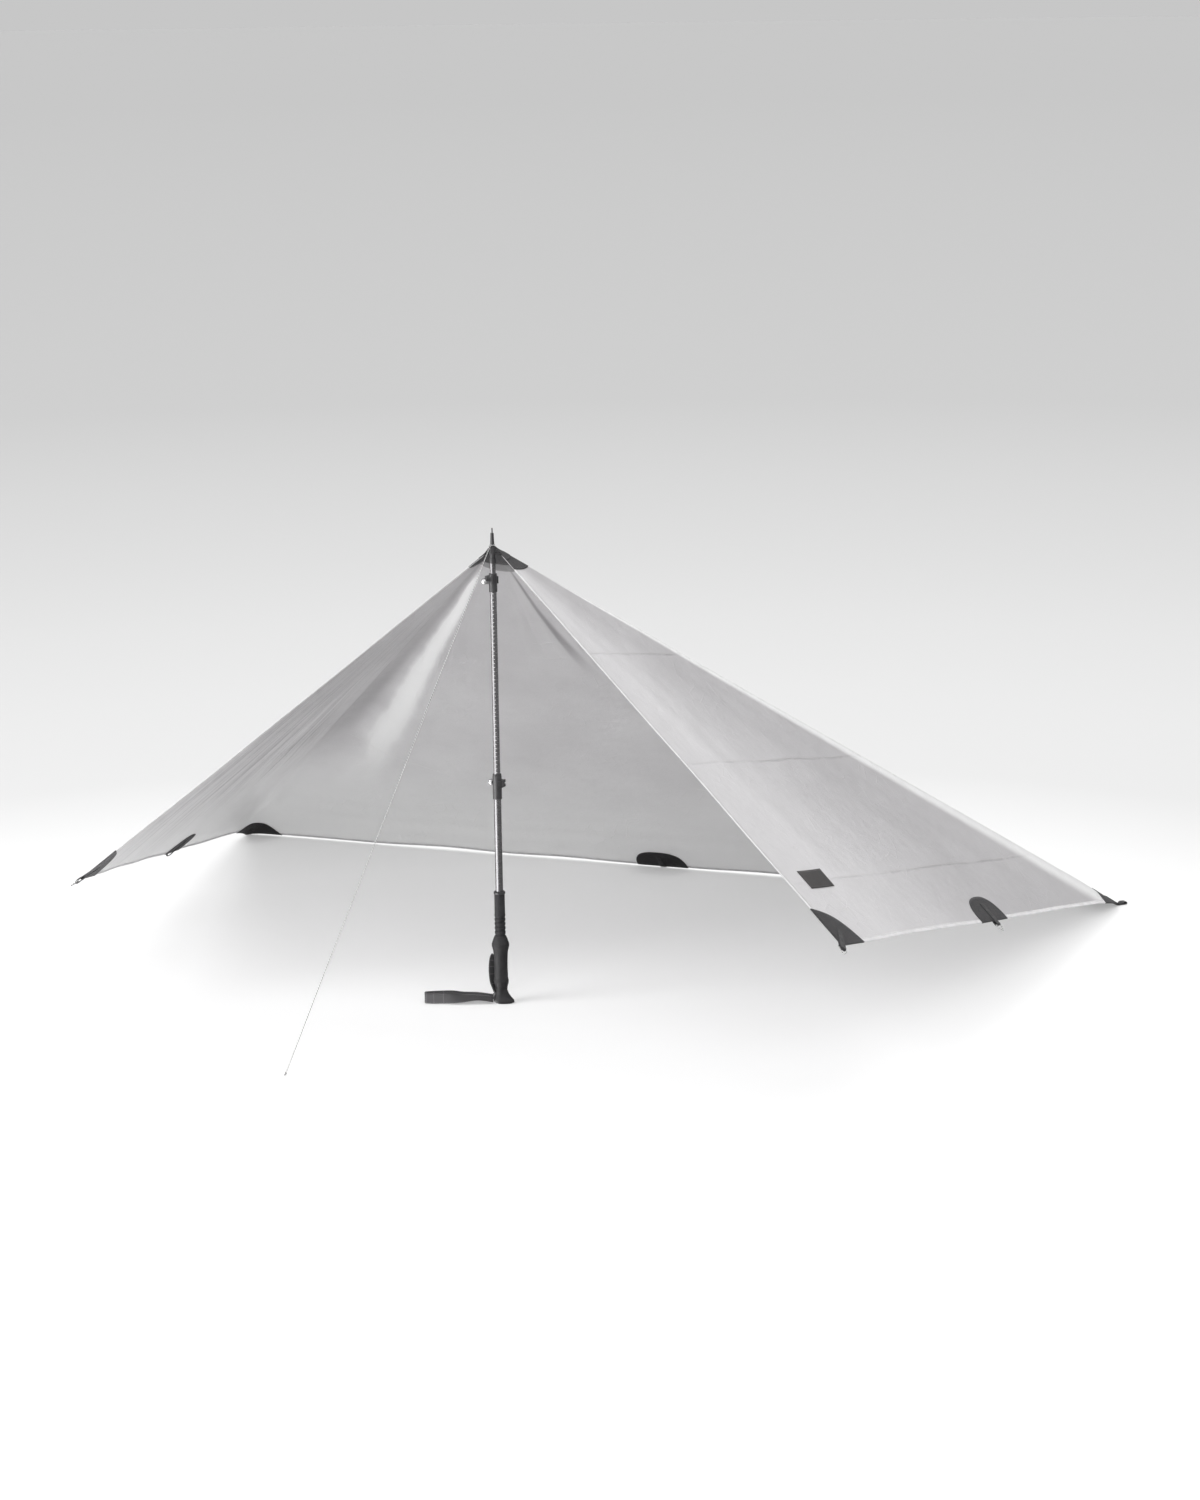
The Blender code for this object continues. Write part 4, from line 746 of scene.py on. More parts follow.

# %% [markdown]
# ## The laminate's finish
#
# The cloth is a laminate: a fine crossing of bright threads between two clear films. It is
# pale, a little satin, and scratched with fine creases. Where the tarp was folded for storage,
# straight creases cross it, one every 0.37 m. The dark patch on the far side of the peak is
# painted into the cloth's colour as grey shade, as if seen through the film. All of these follow
# the flat cloth, so they are drawn with the attribute `place`. Light and shade are painted into
# the cloth's colour as well: a painted highlight along the left fold with bands of painted shade
# beside it, painted shade on the left wing near the peak, painted light low on the back and the
# left, painted shade on the right wing with a painted highlight along the right fold, and a
# painted glow on the inner face. A second attribute, `outside`, tells the outer face from the
# inner one.

# %% Creases and threads
STORAGE_CREASES = (0.365, 0.730, 1.112)
CROSS_CREASES = (0.322, 0.455, 0.530, 0.86, 1.21)
PEAK_PATCH_HALF, PEAK_OUTER_HEIGHT = 0.078, 0.112
laminate, nodes, shader = finish_of(
    "laminate", 0.36, Coat_Weight=0.30, Coat_Roughness=0.22, Specular_IOR_Level=0.60,
    Subsurface_Weight=0.75, Subsurface_Scale=0.0013, Subsurface_Radius=(1.0, 1.0, 1.0),
)
place = nodes.flat_place()
across, back, _ = place.parts()
side_way = abs(across)
shifted = side_way + (place.noise(9.0, 2.0) - 0.5) * 0.006
broken = place.noise(14.0, 3.0, 0.7).ramp(0.30, 0.62, 0.25, 1.0)
angle = nodes.math("ARCTAN2", side_way, back)
on_wing = angle.ramp(CORNER_ANGLE - 0.02, CORNER_ANGLE + 0.03, 0.10, 1.0)
on_right = across.ramp(-0.05, 0.05, 0.15, 1.0)
creases = strongest(shifted.band(crease, 0.0012, 0.0055) for crease in STORAGE_CREASES)
creases = creases * broken * on_wing * on_right
cross_creases = []
for crease in CROSS_CREASES:
    bent = back + (place.noise(5.0 + crease, 2.0) - 0.5) * 0.05
    cross_creases.append(bent.band(crease, 0.0006, 0.0030))
here_and_there = place.noise(3.6, 2.0).ramp(0.50, 0.60)
cross_creases = strongest(cross_creases) * here_and_there * side_way.ramp(0.25, 0.75, 1.0, 0.0)
# one long light crease crosses the left of the back panel, from (-0.76, 1.04) to (-0.48, 1.26)
slanted = (across * -0.618 + back * 0.786).band(1.290, 0.0010, 0.0040)
slanted = slanted * (across * 0.786 + back * 0.618).band(0.220, 0.10, 0.19)
light_lines = cross_creases | slanted
threads_u, threads_v = nodes.wave(place, 0.0034, "X", 1.2), nodes.wave(place, 0.0028, "Y", 1.2)
threads = threads_u.ramp(0.80, 1.0) | threads_v.ramp(0.80, 1.0)
cloudy = place.noise(3.2, 4.0, 0.55).ramp(0.3, 0.7)
speckle = place.noise(240.0, 2.0).ramp(0.5, 0.75)
# painted shade: grey where the dark patch on the outer face would show through the film
shown = (side_way / PEAK_PATCH_HALF) ** 2.5 + (back / PEAK_OUTER_HEIGHT) ** 2.67
painted_patch_shade = shown.ramp(0.98, 1.02, 1.0, 0.0)
print("laminate with", len(STORAGE_CREASES) * 2, "storage creases")

# %% Painted light and shade on the cloth
# reach is in metres from the peak, degrees from the middle of the back, negative to the left
reach = nodes.vector("LENGTH", place, output="Value")
degrees = nodes.math("ARCTAN2", across, back) * (180 / math.pi)
ragged = degrees + (place.noise(5.0, 3.0) - 0.5) * 3.0
outside = nodes.attribute("outside", "Fac")
inside = 1.0 - outside
# painted highlight: a bright band along the left fold, with bands of painted shade beside it
painted_highlight_band = ragged.band(-31.6, 0.6, 2.8) * reach.ramp(0.12, 0.22) * reach.ramp(1.05, 1.75, 1.0, 0.15)
painted_shade_bands = ragged.band(-37.5, 1.0, 4.0) * reach.ramp(0.9, 1.7, 1.0, 0.0)
# painted shade on the inner face of the left wing, near the peak and down beside the left fold
painted_shade_by_left_fold = degrees.ramp(-56.0, -43.0) * reach.ramp(1.10, 1.60, 1.0, 0.0)
painted_shade_left_wing = degrees.ramp(-39.5, -36.5, 1.0, 0.0) * (reach.ramp(0.50, 0.95, 1.0, 0.0) | painted_shade_by_left_fold)
# painted light on the inner face: low on the left wing, and low on the back towards the left
painted_light_far_left = degrees.ramp(-36.0, -52.0) * reach.ramp(1.00, 1.40) * inside
painted_light_low_back = back.ramp(1.05, 1.60) * across.ramp(0.3, -0.9, 0.55, 0.95) * inside
# painted shade near the peak, and a line of painted shade in a fold just right of the middle
painted_shade_near_peak = reach.ramp(0.25, 0.90, 1.0, 0.0) * degrees.ramp(38.0, 39.0, 1.0, 0.0)
curved = degrees - ((reach - 0.28) | 0.0) * 9.0
painted_shade_fold_near_peak = curved.band(5.2, 0.4, 2.0) * reach.ramp(0.08, 0.14) * reach.ramp(0.38, 0.66, 1.0, 0.0)
# fine wrinkles along the rays of the left wing: bumps, with their dark lines as painted shade
combed = nodes.add("ShaderNodeCombineXYZ", {0: degrees * 0.85, 1: reach * 1.7, 2: 0.0})
wrinkles_with_painted_shade = combed.noise(1.0, 4.0, 0.65).ramp(0.46, 0.66) * degrees.ramp(-39.0, -46.0)
wrinkles_with_painted_shade = wrinkles_with_painted_shade * reach.ramp(0.20, 0.50) * reach.ramp(1.10, 1.45, 1.0, 0.0)
# painted highlight along the right fold
painted_highlight_right_fold = degrees.band(38.2, 0.6, 2.4) * reach.ramp(0.10, 0.30)
layers = (
    (threads, 0.25, dull(0.68)),
    (speckle, 0.10, dull(0.36)),
    (creases, 0.42, dull(0.20)),
    (light_lines, 0.55, (0.86, 0.86, 0.86)),
    (painted_patch_shade, 0.64, (0.165, 0.160, 0.165)),
    (painted_shade_left_wing, 0.44, dull(0.36)),
    (wrinkles_with_painted_shade, 0.38, dull(0.30)),
    (painted_shade_bands, 0.48, dull(0.32)),
    (painted_light_low_back, 1.0, (0.95, 0.95, 0.95)),
    (painted_shade_near_peak, 0.17, dull(0.36)),
    (painted_shade_fold_near_peak, 0.75, dull(0.34)),
    (painted_light_far_left, 0.60, (0.95, 0.95, 0.95)),
    # painted shade on the right wing, from its fold outward
    (degrees.ramp(37.0, 40.0), 0.60, dull(0.36)),
    # painted light on the right wing, growing towards its front edge
    (degrees.ramp(48.0, 80.0), 0.50, dull(0.84)),
    (painted_highlight_band, 0.95, (0.98, 0.98, 0.98)),
    (painted_highlight_right_fold, 0.95, (0.98, 0.98, 0.98)),
    # painted shade on the outer face of the left wing
    (degrees.ramp(-35.0, -39.0) * outside, 0.62, dull(0.33)),
)
pale = nodes.blend(cloudy, dull(0.74), dull(0.83))
for mask, amount, tone in layers:
    pale = nodes.blend(mask * amount, pale, tone)
nodes.feed(shader["Base Color"], pale)
print("tones in", len(layers), "layers")

# %% Painted glow, sheen and crinkles
# painted glow: a small emission on the inner face, growing towards the hem, strongest along the
# painted highlight band and left out of the painted shade bands, in place of daylight through the
# film
PAINTED_GLOW_STRENGTH = 0.20
painted_glow = reach.ramp(0.40, 1.60, 0.0, 0.45) * degrees.ramp(34.0, 37.0, 1.0, 0.0)
painted_glow = painted_glow * (1.0 - (painted_shade_bands | wrinkles_with_painted_shade))
painted_glow = (painted_highlight_band * 0.95 | painted_glow) * inside
nodes.feed(shader["Emission Color"], nodes.blend(painted_glow, (0.0, 0.0, 0.0), (1.0, 1.0, 1.0)))
shader["Emission Strength"].default_value = PAINTED_GLOW_STRENGTH
nodes.feed(shader["Roughness"], place.noise(26.0, 4.0, 0.65).ramp(0.25, 0.75, 0.30, 0.46))
inputs = {"Vector": place, "Scale": 21.0, "Randomness": 1.0}
crinkle = nodes.add("ShaderNodeTexVoronoi", inputs, "Distance", feature="DISTANCE_TO_EDGE")
crinkled = crinkle.ramp(0.0, 0.05, 1.0, 0.0) * place.noise(4.4, 3.0).ramp(0.48, 0.66)
height = place.noise(12.0, 5.0, 0.6) * 1.1
for mask, depth in (
    (crinkled, 0.16), (creases, -0.35), (light_lines, 0.35), (wrinkles_with_painted_shade, -0.9), (threads, 0.015)
):
    height = height + mask * depth
relief_on(nodes, shader, height, 0.0030)
print("laminate with", len(laminate.node_tree.nodes), "nodes")

# %% [markdown]
# ## The sheet
#
# The sheet is a polar grid: rays from the peak, closer together at the two folds, and rings
# from the pole's hole to the hem. Each grid point has a flat place, and `pitched` puts it in
# the air. Between two tie-outs the hem is drawn in by a few millimetres, as a taut hem is.
# Solidify then gives the thin cloth its two faces.

# %% The hem's line
HEM_CURVE, FLAT_BY_TIE = 0.003, 0.105
TIE_SPACING = {"side": CLOTH_DEPTH / 2, "back": HALF_WIDTH, "front": HALF_WIDTH}
TINY = 1e-9


def draw_in(run, edge):
    """How far the hem is drawn in, at a run along an edge from a tie-out."""
    spacing = TIE_SPACING[edge]
    share = np.clip((np.mod(run, spacing) - FLAT_BY_TIE) / (spacing - 2 * FLAT_BY_TIE), 0, 1)
    return HEM_CURVE * np.sin(math.pi * share) ** 2


def hem_reach(angle):
    """How far the hem is from the peak along a ray of the flat sheet."""
    u_share, v_share = np.sin(np.abs(angle)), np.maximum(np.cos(angle), TINY)
    to_side, to_back = HALF_WIDTH / np.maximum(u_share, TINY), CLOTH_DEPTH / v_share
    for _ in range(3):
        drawn_side = draw_in(np.minimum(to_side, 3) * v_share, "side")
        to_side = (HALF_WIDTH - drawn_side) / np.maximum(u_share, TINY)
        to_back = (CLOTH_DEPTH - draw_in(np.minimum(to_back, 3) * u_share, "back")) / v_share
    return np.minimum(to_side, to_back)


print("hem drawn in by", HEM_CURVE, "m")

# %% The sheet's grid
SHEET_THICKNESS = 0.0006
RINGS = 84
FOLD_ZONE = math.radians(2.2)
# the rays of one half: where a span starts, where it stops, and how many rays it has
SPANS = (
    (0, CORNER_ANGLE - FOLD_ZONE, 80),
    (CORNER_ANGLE - FOLD_ZONE, CORNER_ANGLE, 14),
    (CORNER_ANGLE, CORNER_ANGLE + FOLD_ZONE, 14),
    (CORNER_ANGLE + FOLD_ZONE, QUARTER, 112),
)
half = np.concatenate([np.linspace(*span, endpoint=span[1] == QUARTER) for span in SPANS])
rays = np.concatenate([-half[:0:-1], half])
ray_grid, share_grid = np.meshgrid(rays, np.linspace(0, 1, RINGS) ** 0.92)
reach = PEAK_HOLE + (hem_reach(ray_grid) - PEAK_HOLE) * share_grid
flat_u, flat_v = reach * np.sin(ray_grid), np.maximum(reach * np.cos(ray_grid), 0)
near_edge = rise(np.abs(ray_grid), math.radians(80), QUARTER)
flat_v = flat_v + draw_in(np.abs(flat_u), "front") * near_edge
flat_places = np.stack([flat_u, flat_v, np.zeros_like(flat_u)], -1)
sheet = grid_piece("tarp_cloth", pitched(flat_u, flat_v), flat_places, laminate, SHEET_THICKNESS)
# the attribute `outside` tells the sheet's two faces apart: the outer face is the higher one
tall = np.array([vertex.co.z for vertex in sheet.data.vertices])
higher = tall[: len(tall) // 2] > tall[len(tall) // 2 :]
face_mark = sheet.data.attributes.new("outside", "FLOAT", "POINT")
face_mark.data.foreach_set("value", np.concatenate([higher, ~higher]).astype(np.float32))
stands_for(sheet, "tarp_sheet")
print("sheet", len(rays), "rays,", RINGS, "rings,", len(sheet.data.polygons), "faces")

# %% [markdown]
# ## Black patch fabric and webbing
#
# The corners and the middles of three edges are reinforced with black woven patches, folded
# round the hem so that one layer lies on each face. Their weave is close and dull, with a row
# of stitches a few millimetres inside the edge. The webbing is coarser, ribbed across, with
# selvedges along both sides and dense bars of thread where it is sewn down. On these pieces
# `place` holds, in metres, how far a point is along and across, and how far it is from the
# edge of the piece, so that stitches can follow the edge.

# %% Patch fabric and label
STITCH_PITCH = 0.0032


def stitches(from_edge, along, line=0.004, width=0.0009):
    """A row of stitches at a distance from the edge."""
    beat = (along * (FULL_TURN / STITCH_PITCH)).sine()
    return from_edge.band(line, width * 0.4, width) * beat.ramp(-0.5, 0.0)


def lighter(colour, times):
    return tuple(v * times for v in colour)


def woven_finish(name, dark, light, threads, depth, roughness, sheen):
    """A dull woven cloth, a little dusty, with a row of stitches near its edge."""
    material, nodes, shader = finish_of(name, roughness, Sheen_Weight=sheen, Sheen_Roughness=0.4)
    place = nodes.flat_place()
    along, across, from_edge = place.parts()
    cloth = nodes.group(weave, {"Place": place, "Threads": threads, "Unevenness": 0.5})
    dusty = place.noise(18.0, 4.0).ramp(0.35, 0.75)
    sewn = stitches(from_edge, along + across)
    colour = nodes.blend(cloth["Mask"], dark, light)
    colour = nodes.blend(dusty * 0.16, colour, lighter(light, 1.9))
    nodes.feed(shader["Base Color"], nodes.blend(sewn * 0.7, colour, lighter(light, 2.6)))
    height = cloth["Height"] + sewn * 2.5 + place.noise(45.0, 3.0) * 3.0
    relief_on(nodes, shader, height, depth)
    return material


strap_lining = woven_finish(
    "strap_lining", (0.10, 0.098, 0.10), (0.19, 0.186, 0.19), 1100.0, 0.00012, 0.7, 0.15
)
patch_fabric = woven_finish(
    "patch_fabric", (0.020, 0.019, 0.021), (0.048, 0.046, 0.049), 1400.0, 0.00013, 0.62, 0.10
)
label_fabric = woven_finish(
    "label_fabric", (0.030, 0.028, 0.028), (0.070, 0.066, 0.065), 2200.0, 0.00008, 0.58, 0.05
)
print("fabrics", strap_lining.name, patch_fabric.name, label_fabric.name)

# %% Webbing
BAR_PLACES = (0.0075, 0.0260, 0.0500)
RIB_PITCH, WARP_PITCH, ZIGZAG_PITCH = 0.0011, 0.0017, 0.0007
webbing, nodes, shader = finish_of("webbing", 0.72, Sheen_Weight=0.15, Sheen_Roughness=0.4)
along, across, from_edge = nodes.flat_place().parts()
rib = abs((along * (math.pi / RIB_PITCH)).sine())
warp = abs((across * (math.pi / WARP_PITCH)).sine())
thread = rib * warp.ramp(0.0, 0.4, 0.6, 1.0)
selvedge = from_edge.ramp(0.0006, 0.0016, 1.0, 0.0)
zigzag = abs(((across + along * 0.3) * (math.pi / ZIGZAG_PITCH)).sine())
bars = strongest(abs(along).band(bar, 0.0009, 0.0014) for bar in BAR_PLACES)
bars = bars * from_edge.ramp(0.0012, 0.0020) * zigzag.ramp(0.0, 0.5, 0.5, 1.0)
colour = nodes.blend(thread, (0.014, 0.0135, 0.015), (0.052, 0.050, 0.053))
colour = nodes.blend(selvedge * 0.35, colour, (0.075, 0.073, 0.076))
nodes.feed(shader["Base Color"], nodes.blend(bars * 0.8, colour, (0.10, 0.098, 0.10)))
relief_on(nodes, shader, thread + bars * 1.6, 0.00022)
print("webbing with", len(BAR_PLACES), "bars of thread")

# %% [markdown]
# ## The hem
#
# The hem is a strip of the same laminate, 11 mm wide, folded over the edge all the way round
# and sewn. It lies just off the cloth on both faces and is a little lighter, with a line of
# stitches. It is a long grid: its columns follow the edge, its rows wrap over it.

# %% Hem tape's finish
hem_finish, nodes, shader = finish_of("hem_tape", 0.42, Coat_Weight=0.08, Coat_Roughness=0.3)
place = nodes.flat_place()
run, fold, from_edge = place.parts()
sewn = stitches(from_edge, run, 0.0022, 0.0007)
cloudy = place.noise(40.0, 3.0)
colour = nodes.blend(cloudy.ramp(0.3, 0.7), dull(0.74), dull(0.86))
colour = nodes.blend(sewn * 0.6, colour, (0.22, 0.215, 0.22))
crease = abs(fold).ramp(0.0, 0.0010, 0.20, 0.0)
nodes.feed(shader["Base Color"], nodes.blend(crease, colour, (0.30, 0.295, 0.30)))
relief_on(nodes, shader, sewn * -0.6 + cloudy * 0.8, 0.0004)
print("finish", hem_finish.name)

# %% Hem strips
HEM_WIDTH, TAPE_THICKNESS = 0.011, 0.00016
# the tape's section: how far outward from the edge, and how far off the sheet's middle
TAPE_FACE = ((-HEM_WIDTH, 0.00055), (-0.006, 0.0006), (-0.0008, 0.0006))
TAPE_SECTION = (*TAPE_FACE, (0.0004, 0.0), *[(out, -lift) for out, lift in TAPE_FACE[::-1]])


def edge_line(count=150):
    """The hem's flat line from the left front corner round the back to the right one."""
    down = np.linspace(0, CLOTH_DEPTH, count, endpoint=False)
    wide = np.linspace(-HALF_WIDTH, HALF_WIDTH, 2 * count, endpoint=False)
    up = np.linspace(CLOTH_DEPTH, 0, count, endpoint=False)
    left = np.column_stack([draw_in(down, "side") - HALF_WIDTH, down])
    rear = np.column_stack([wide, CLOTH_DEPTH - draw_in(np.abs(wide), "back")])
    right = np.column_stack([HALF_WIDTH - draw_in(up, "side"), up])
    ways = np.repeat([(-1.0, 0.0), (0.0, 1.0), (1.0, 0.0)], (count, 2 * count, count), axis=0)
    ways[count] += ways[count - 1]
    ways[3 * count] += ways[3 * count - 1]
    return np.vstack([left, rear, right]), ways


def hem_piece(name, line, ways):
    steps = np.linalg.norm(np.diff(line, axis=0), axis=1)
    runs = np.concatenate([[0], np.cumsum(steps)])
    rows, places = [], []
    for out, lift in TAPE_SECTION:
        flat = line + ways * out
        fold = np.full(len(line), out)
        rows.append(pitched(flat[:, 0], flat[:, 1], lift))
        places.append(np.stack([runs, fold, fold + HEM_WIDTH], -1))
    piece = grid_piece(name, rows, places, hem_finish, TAPE_THICKNESS)
    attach(piece, "canopy")
    return piece


hems = [hem_piece("hem_sides_and_back", *edge_line())]
for side, hand in ((-1, "left"), (1, "right")):
    runs = np.linspace(PEAK_HOLE + 0.004, HALF_WIDTH - 0.002, 170)
    line = np.stack([side * runs, draw_in(runs, "front")], -1)
    hems.append(hem_piece(f"hem_front_{hand}", line, np.tile((0.0, -1.0), (len(runs), 1))))
print("hems", [piece.name for piece in hems])

# %% [markdown]
# ## The wrapped patches
#
# Each patch is one grid. Its columns run along the cloth's edge, and its rows start at the
# patch's curved front on the outer face, run to the edge, round it, and back on the inner
# face. So one grid makes both layers and the turn between them, and the curve of the front
# and the line of the edge are all that differs from patch to patch.

# %% A helper for wrapped patches
PATCH_THICKNESS, PATCH_LEVEL, RIM, FACE_ROWS = 0.0007, 0.0015, 0.0010, 12
# the turn round the edge: how far out, as a share of RIM, and its level, of PATCH_LEVEL
RIM_TURN = ((0.30, 0.92), (0.80, 0.55), (1.0, 0.0), (0.80, -0.55), (0.30, -0.92))


def wrapped_patch(name, node, front, edge, ways):
    shares = np.linspace(0, 1, FACE_ROWS)
    face = [front + (edge - front) * share for share in shares]
    rows = [(flat, flat, PATCH_LEVEL) for flat in face]
    rows += [(edge + ways * RIM * out, edge, PATCH_LEVEL * level) for out, level in RIM_TURN]
    rows += [(flat, flat, -PATCH_LEVEL) for flat in face[::-1]]
    points = [pitched(flat[:, 0], flat[:, 1], level) for flat, _, level in rows]
    places = [np.column_stack([at, np.linalg.norm(at - front, axis=-1)]) for _, at, _ in rows]
    piece = grid_piece(name, points, places, patch_fabric, PATCH_THICKNESS)
    return stands_for(piece, node)


print("a wrapped patch has", 2 * FACE_ROWS + len(RIM_TURN), "rows")

# %% Edge patches and corner patches
EDGE_PATCH_WIDTH, EDGE_PATCH_HEIGHT = 0.150, 0.078
CORNER_LEG, CORNER_BULGE = 0.112, 0.018


def half_round(width, height, steps):
    """Points of a half round with full shoulders, from one end of its foot to the other."""
    turn = np.linspace(0, math.pi, steps)
    x = width / 2 * np.sign(np.cos(turn)) * np.abs(np.cos(turn)) ** 0.8
    return x, height * np.sin(turn) ** 0.75


def edge_patch(hand, middle, along, outward):
    """A half round patch, given by its edge's middle, and the ways along it and out of it."""
    x, y = half_round(EDGE_PATCH_WIDTH, EDGE_PATCH_HEIGHT, 41)
    edge = np.array(middle) + np.outer(x, along)
    front, ways = edge - np.outer(y, outward), np.tile(outward, (len(x), 1))
    return wrapped_patch(f"patch_{hand}", f"edge_patch_{hand}", front, edge, ways)


def corner_patch(end, hand):
    side = -1 if hand == "left" else 1
    at_back = end == "back"
    shares = np.linspace(0, 1, 41)
    swell = CORNER_BULGE * np.sin(math.pi * shares)
    front_in = np.column_stack([CORNER_LEG * (1 - shares) + swell, CORNER_LEG * shares + swell])
    legs = [np.clip(1 - 2 * shares, 0, 1), np.clip(2 * shares - 1, 0, 1)]
    edge_in = np.column_stack(legs) * CORNER_LEG
    outward = np.column_stack([(shares >= 0.5) * 1.0, (shares <= 0.5) * 1.0])
    corner = np.array([side * HALF_WIDTH, CLOTH_DEPTH if at_back else 0.0])
    into = np.array([-side, -1.0 if at_back else 1.0])
    front, edge = corner + front_in * into, corner + edge_in * into
    name = f"{end}_{hand}"
    return wrapped_patch(f"patch_{name}", f"corner_patch_{name}", front, edge, -outward * into)


patches = [
    edge_patch("left", (-HALF_WIDTH, CLOTH_DEPTH / 2), (0, 1), (-1, 0)),
    edge_patch("right", (HALF_WIDTH, CLOTH_DEPTH / 2), (0, 1), (1, 0)),
    edge_patch("back", (0, CLOTH_DEPTH), (1, 0), (0, 1)),
]
patches += [corner_patch(end, hand) for end in ("front", "back") for hand in ("left", "right")]
print("patches", [piece.name for piece in patches])

# %% [markdown]
# ## The peak
#
# Two patches lie on the cloth at the peak, a deeper one outside and a shallower one inside.
# A cap rises from the outer one in a short concave cone to a webbing sleeve round the pole's
# tip. The front stays open, so each is only half a cone: rows from the hole to the curved
# front of the patch, columns from the left front edge round the back to the right one.

# %% Peak patches
INNER_HEIGHT = 0.078


def peak_patch(name, node, height, level):
    """A half round patch, given by how far its curve is from the peak along each ray."""
    x, y = half_round(2 * PEAK_PATCH_HALF, height, 1601)
    curve_angle, curve_reach = np.arctan2(x, y), np.hypot(x, y)
    order = np.argsort(curve_angle)
    far = np.interp(rays, curve_angle[order], curve_reach[order])
    shares = np.linspace(0, 1, 16)[:, None]
    reach = PEAK_HOLE + (far - PEAK_HOLE) * shares
    u, v = reach * np.sin(rays), np.maximum(reach * np.cos(rays), 0)
    places = np.stack([u, v, (far - PEAK_HOLE) * (1 - shares) + 0 * u], -1)
    piece = grid_piece(name, pitched(u, v, level), places, patch_fabric, PATCH_THICKNESS)
    return stands_for(piece, node)


peak_outer = peak_patch("peak_patch_outside", "peak_patch_outer", PEAK_OUTER_HEIGHT, PATCH_LEVEL)
peak_inner = peak_patch("peak_patch_inside", "peak_patch_inner", INNER_HEIGHT, -PATCH_LEVEL)
print("peak patches", peak_outer.name, peak_inner.name)

# %% Peak cap
CAP_SKIRT, CAP_TOP, CAP_LEVEL, CAP_SAG = 0.046, 1.1385, 0.0026, 0.0012
CAP_SHARES = (0.18, 0.36, 0.55, 0.72, 0.86, 0.95)
WEBBING_THICKNESS = 0.0012


def round_pole(radius, angles, height):
    """Points round the pole's axis at one height."""
    same = np.full_like(angles, height)
    return np.stack([radius * np.sin(angles), radius * np.cos(angles), same], -1)


rows = []
for r in np.linspace(CAP_SKIRT, PEAK_HOLE, 6):
    rows.append(pitched(r * np.sin(rays), np.maximum(r * np.cos(rays), 0), CAP_LEVEL))
foot, lip_radius = rows[-1], ferrule_radius(CAP_TOP) + WEBBING_THICKNESS + 0.0010
lip = round_pole(lip_radius, rays, CAP_TOP)
for share in CAP_SHARES:
    sag = CAP_SAG * math.sin(math.pi * share)
    rows.append(foot * (1 - share) + lip * share - np.array([0, 0, sag]))
rows.append(lip)
steps = [np.linalg.norm(b - a, axis=-1).mean() for a, b in zip(rows, rows[1:])]
same = np.ones_like(rays)
places = [np.column_stack([rays * 0.04, same * w, same * w]) for w in np.cumsum([0, *steps])]
cap = grid_piece("peak_cap_cloth", rows, places, patch_fabric, PATCH_THICKNESS)
stands_for(cap, "peak_cap")
print("cap", cap.name, "with", len(rows), "rows")

# %% Peak sleeve
SLEEVE_FOOT, SLEEVE_TOP, SLEEVE_SWELL = 1.121, 1.137, 0.0002
angles = QUARTER - np.linspace(0, FULL_TURN, 48, endpoint=False)
shares = np.linspace(0, 1, 9)
same = np.ones_like(angles)
rows, places = [], []
for outward, order in ((1.0, shares), (0.0, shares[::-1])):
    for share in order:
        height = SLEEVE_FOOT + (SLEEVE_TOP - SLEEVE_FOOT) * share
        swell = SLEEVE_SWELL * math.sin(math.pi * share)
        radius = ferrule_radius(height) + SEAT_GAP + (WEBBING_THICKNESS + swell) * outward
        rows.append(round_pole(radius, angles, height))
        run = 0.1 + (QUARTER - angles) * radius
        from_edge = min(height - SLEEVE_FOOT, SLEEVE_TOP - height)
        places.append(np.stack([run, same * height, same * from_edge], -1))
sleeve = grid_piece("peak_sleeve_webbing", rows, places, webbing, closed=(True, True))
stands_for(sleeve, "peak_sleeve")
print("sleeve", sleeve.name)

# %% [markdown]
# ## Webbing tie-outs
#
# A strip of webbing is sewn over each patch. Its two tails lie on the two faces of the cloth,
# and between them it bulges out past the edge into a small eye for a peg or a cord. On the
# ground the eye lies flat. The strip is a grid swept along the same stations as its solid,
# made smooth, with seven columns of points across and Solidify for its thickness.

# %% Helpers for strips
WEBBING_WIDTH, WEBBING_TAIL, LOOP_LENGTH, LOOP_EYE = 0.015, 0.055, 0.017, 0.0056
WEBBING_LEVEL = 0.00285
STRIP_COLUMNS = 7


def unit(vector):
    return vector / np.linalg.norm(vector, axis=-1, keepdims=True)


def smooth_path(points, per_span):
    """More points on a smooth curve through the given ones."""
    points = np.array(points, float)
    padded = np.vstack([2 * points[0] - points[1], points, 2 * points[-1] - points[-2]])
    out = []
    for k in range(len(points) - 1):
        a, b, c, d = padded[k : k + 4]
        bend, twist = 2 * a - 5 * b + 4 * c - d, 3 * b - a - 3 * c + d
        for t in np.linspace(0, 1, per_span, endpoint=False):
            out.append(0.5 * (2 * b + (c - a) * t + bend * t**2 + twist * t**3))
    out.append(points[-1])
    return np.array(out)


def strip_piece(name, points, across, width, thickness):
    """A flat strip of webbing along points, with the direction of its width at each."""
    ahead = unit(np.gradient(points, axis=0))
    across = unit(across - ahead * (across * ahead).sum(1)[:, None])
    steps = np.linalg.norm(np.diff(points, axis=0), axis=1)
    run = np.concatenate([[0], np.cumsum(steps)])
    run -= run[-1] / 2
    grid, places = [], []
    for s in np.linspace(-1, 1, STRIP_COLUMNS):
        same = np.ones_like(run)
        grid.append(points + across * width / 2 * s)
        places.append(np.stack([run, same * s * width / 2, same * (1 - abs(s)) * width / 2], -1))
    return grid_piece(name, grid, places, webbing, thickness)


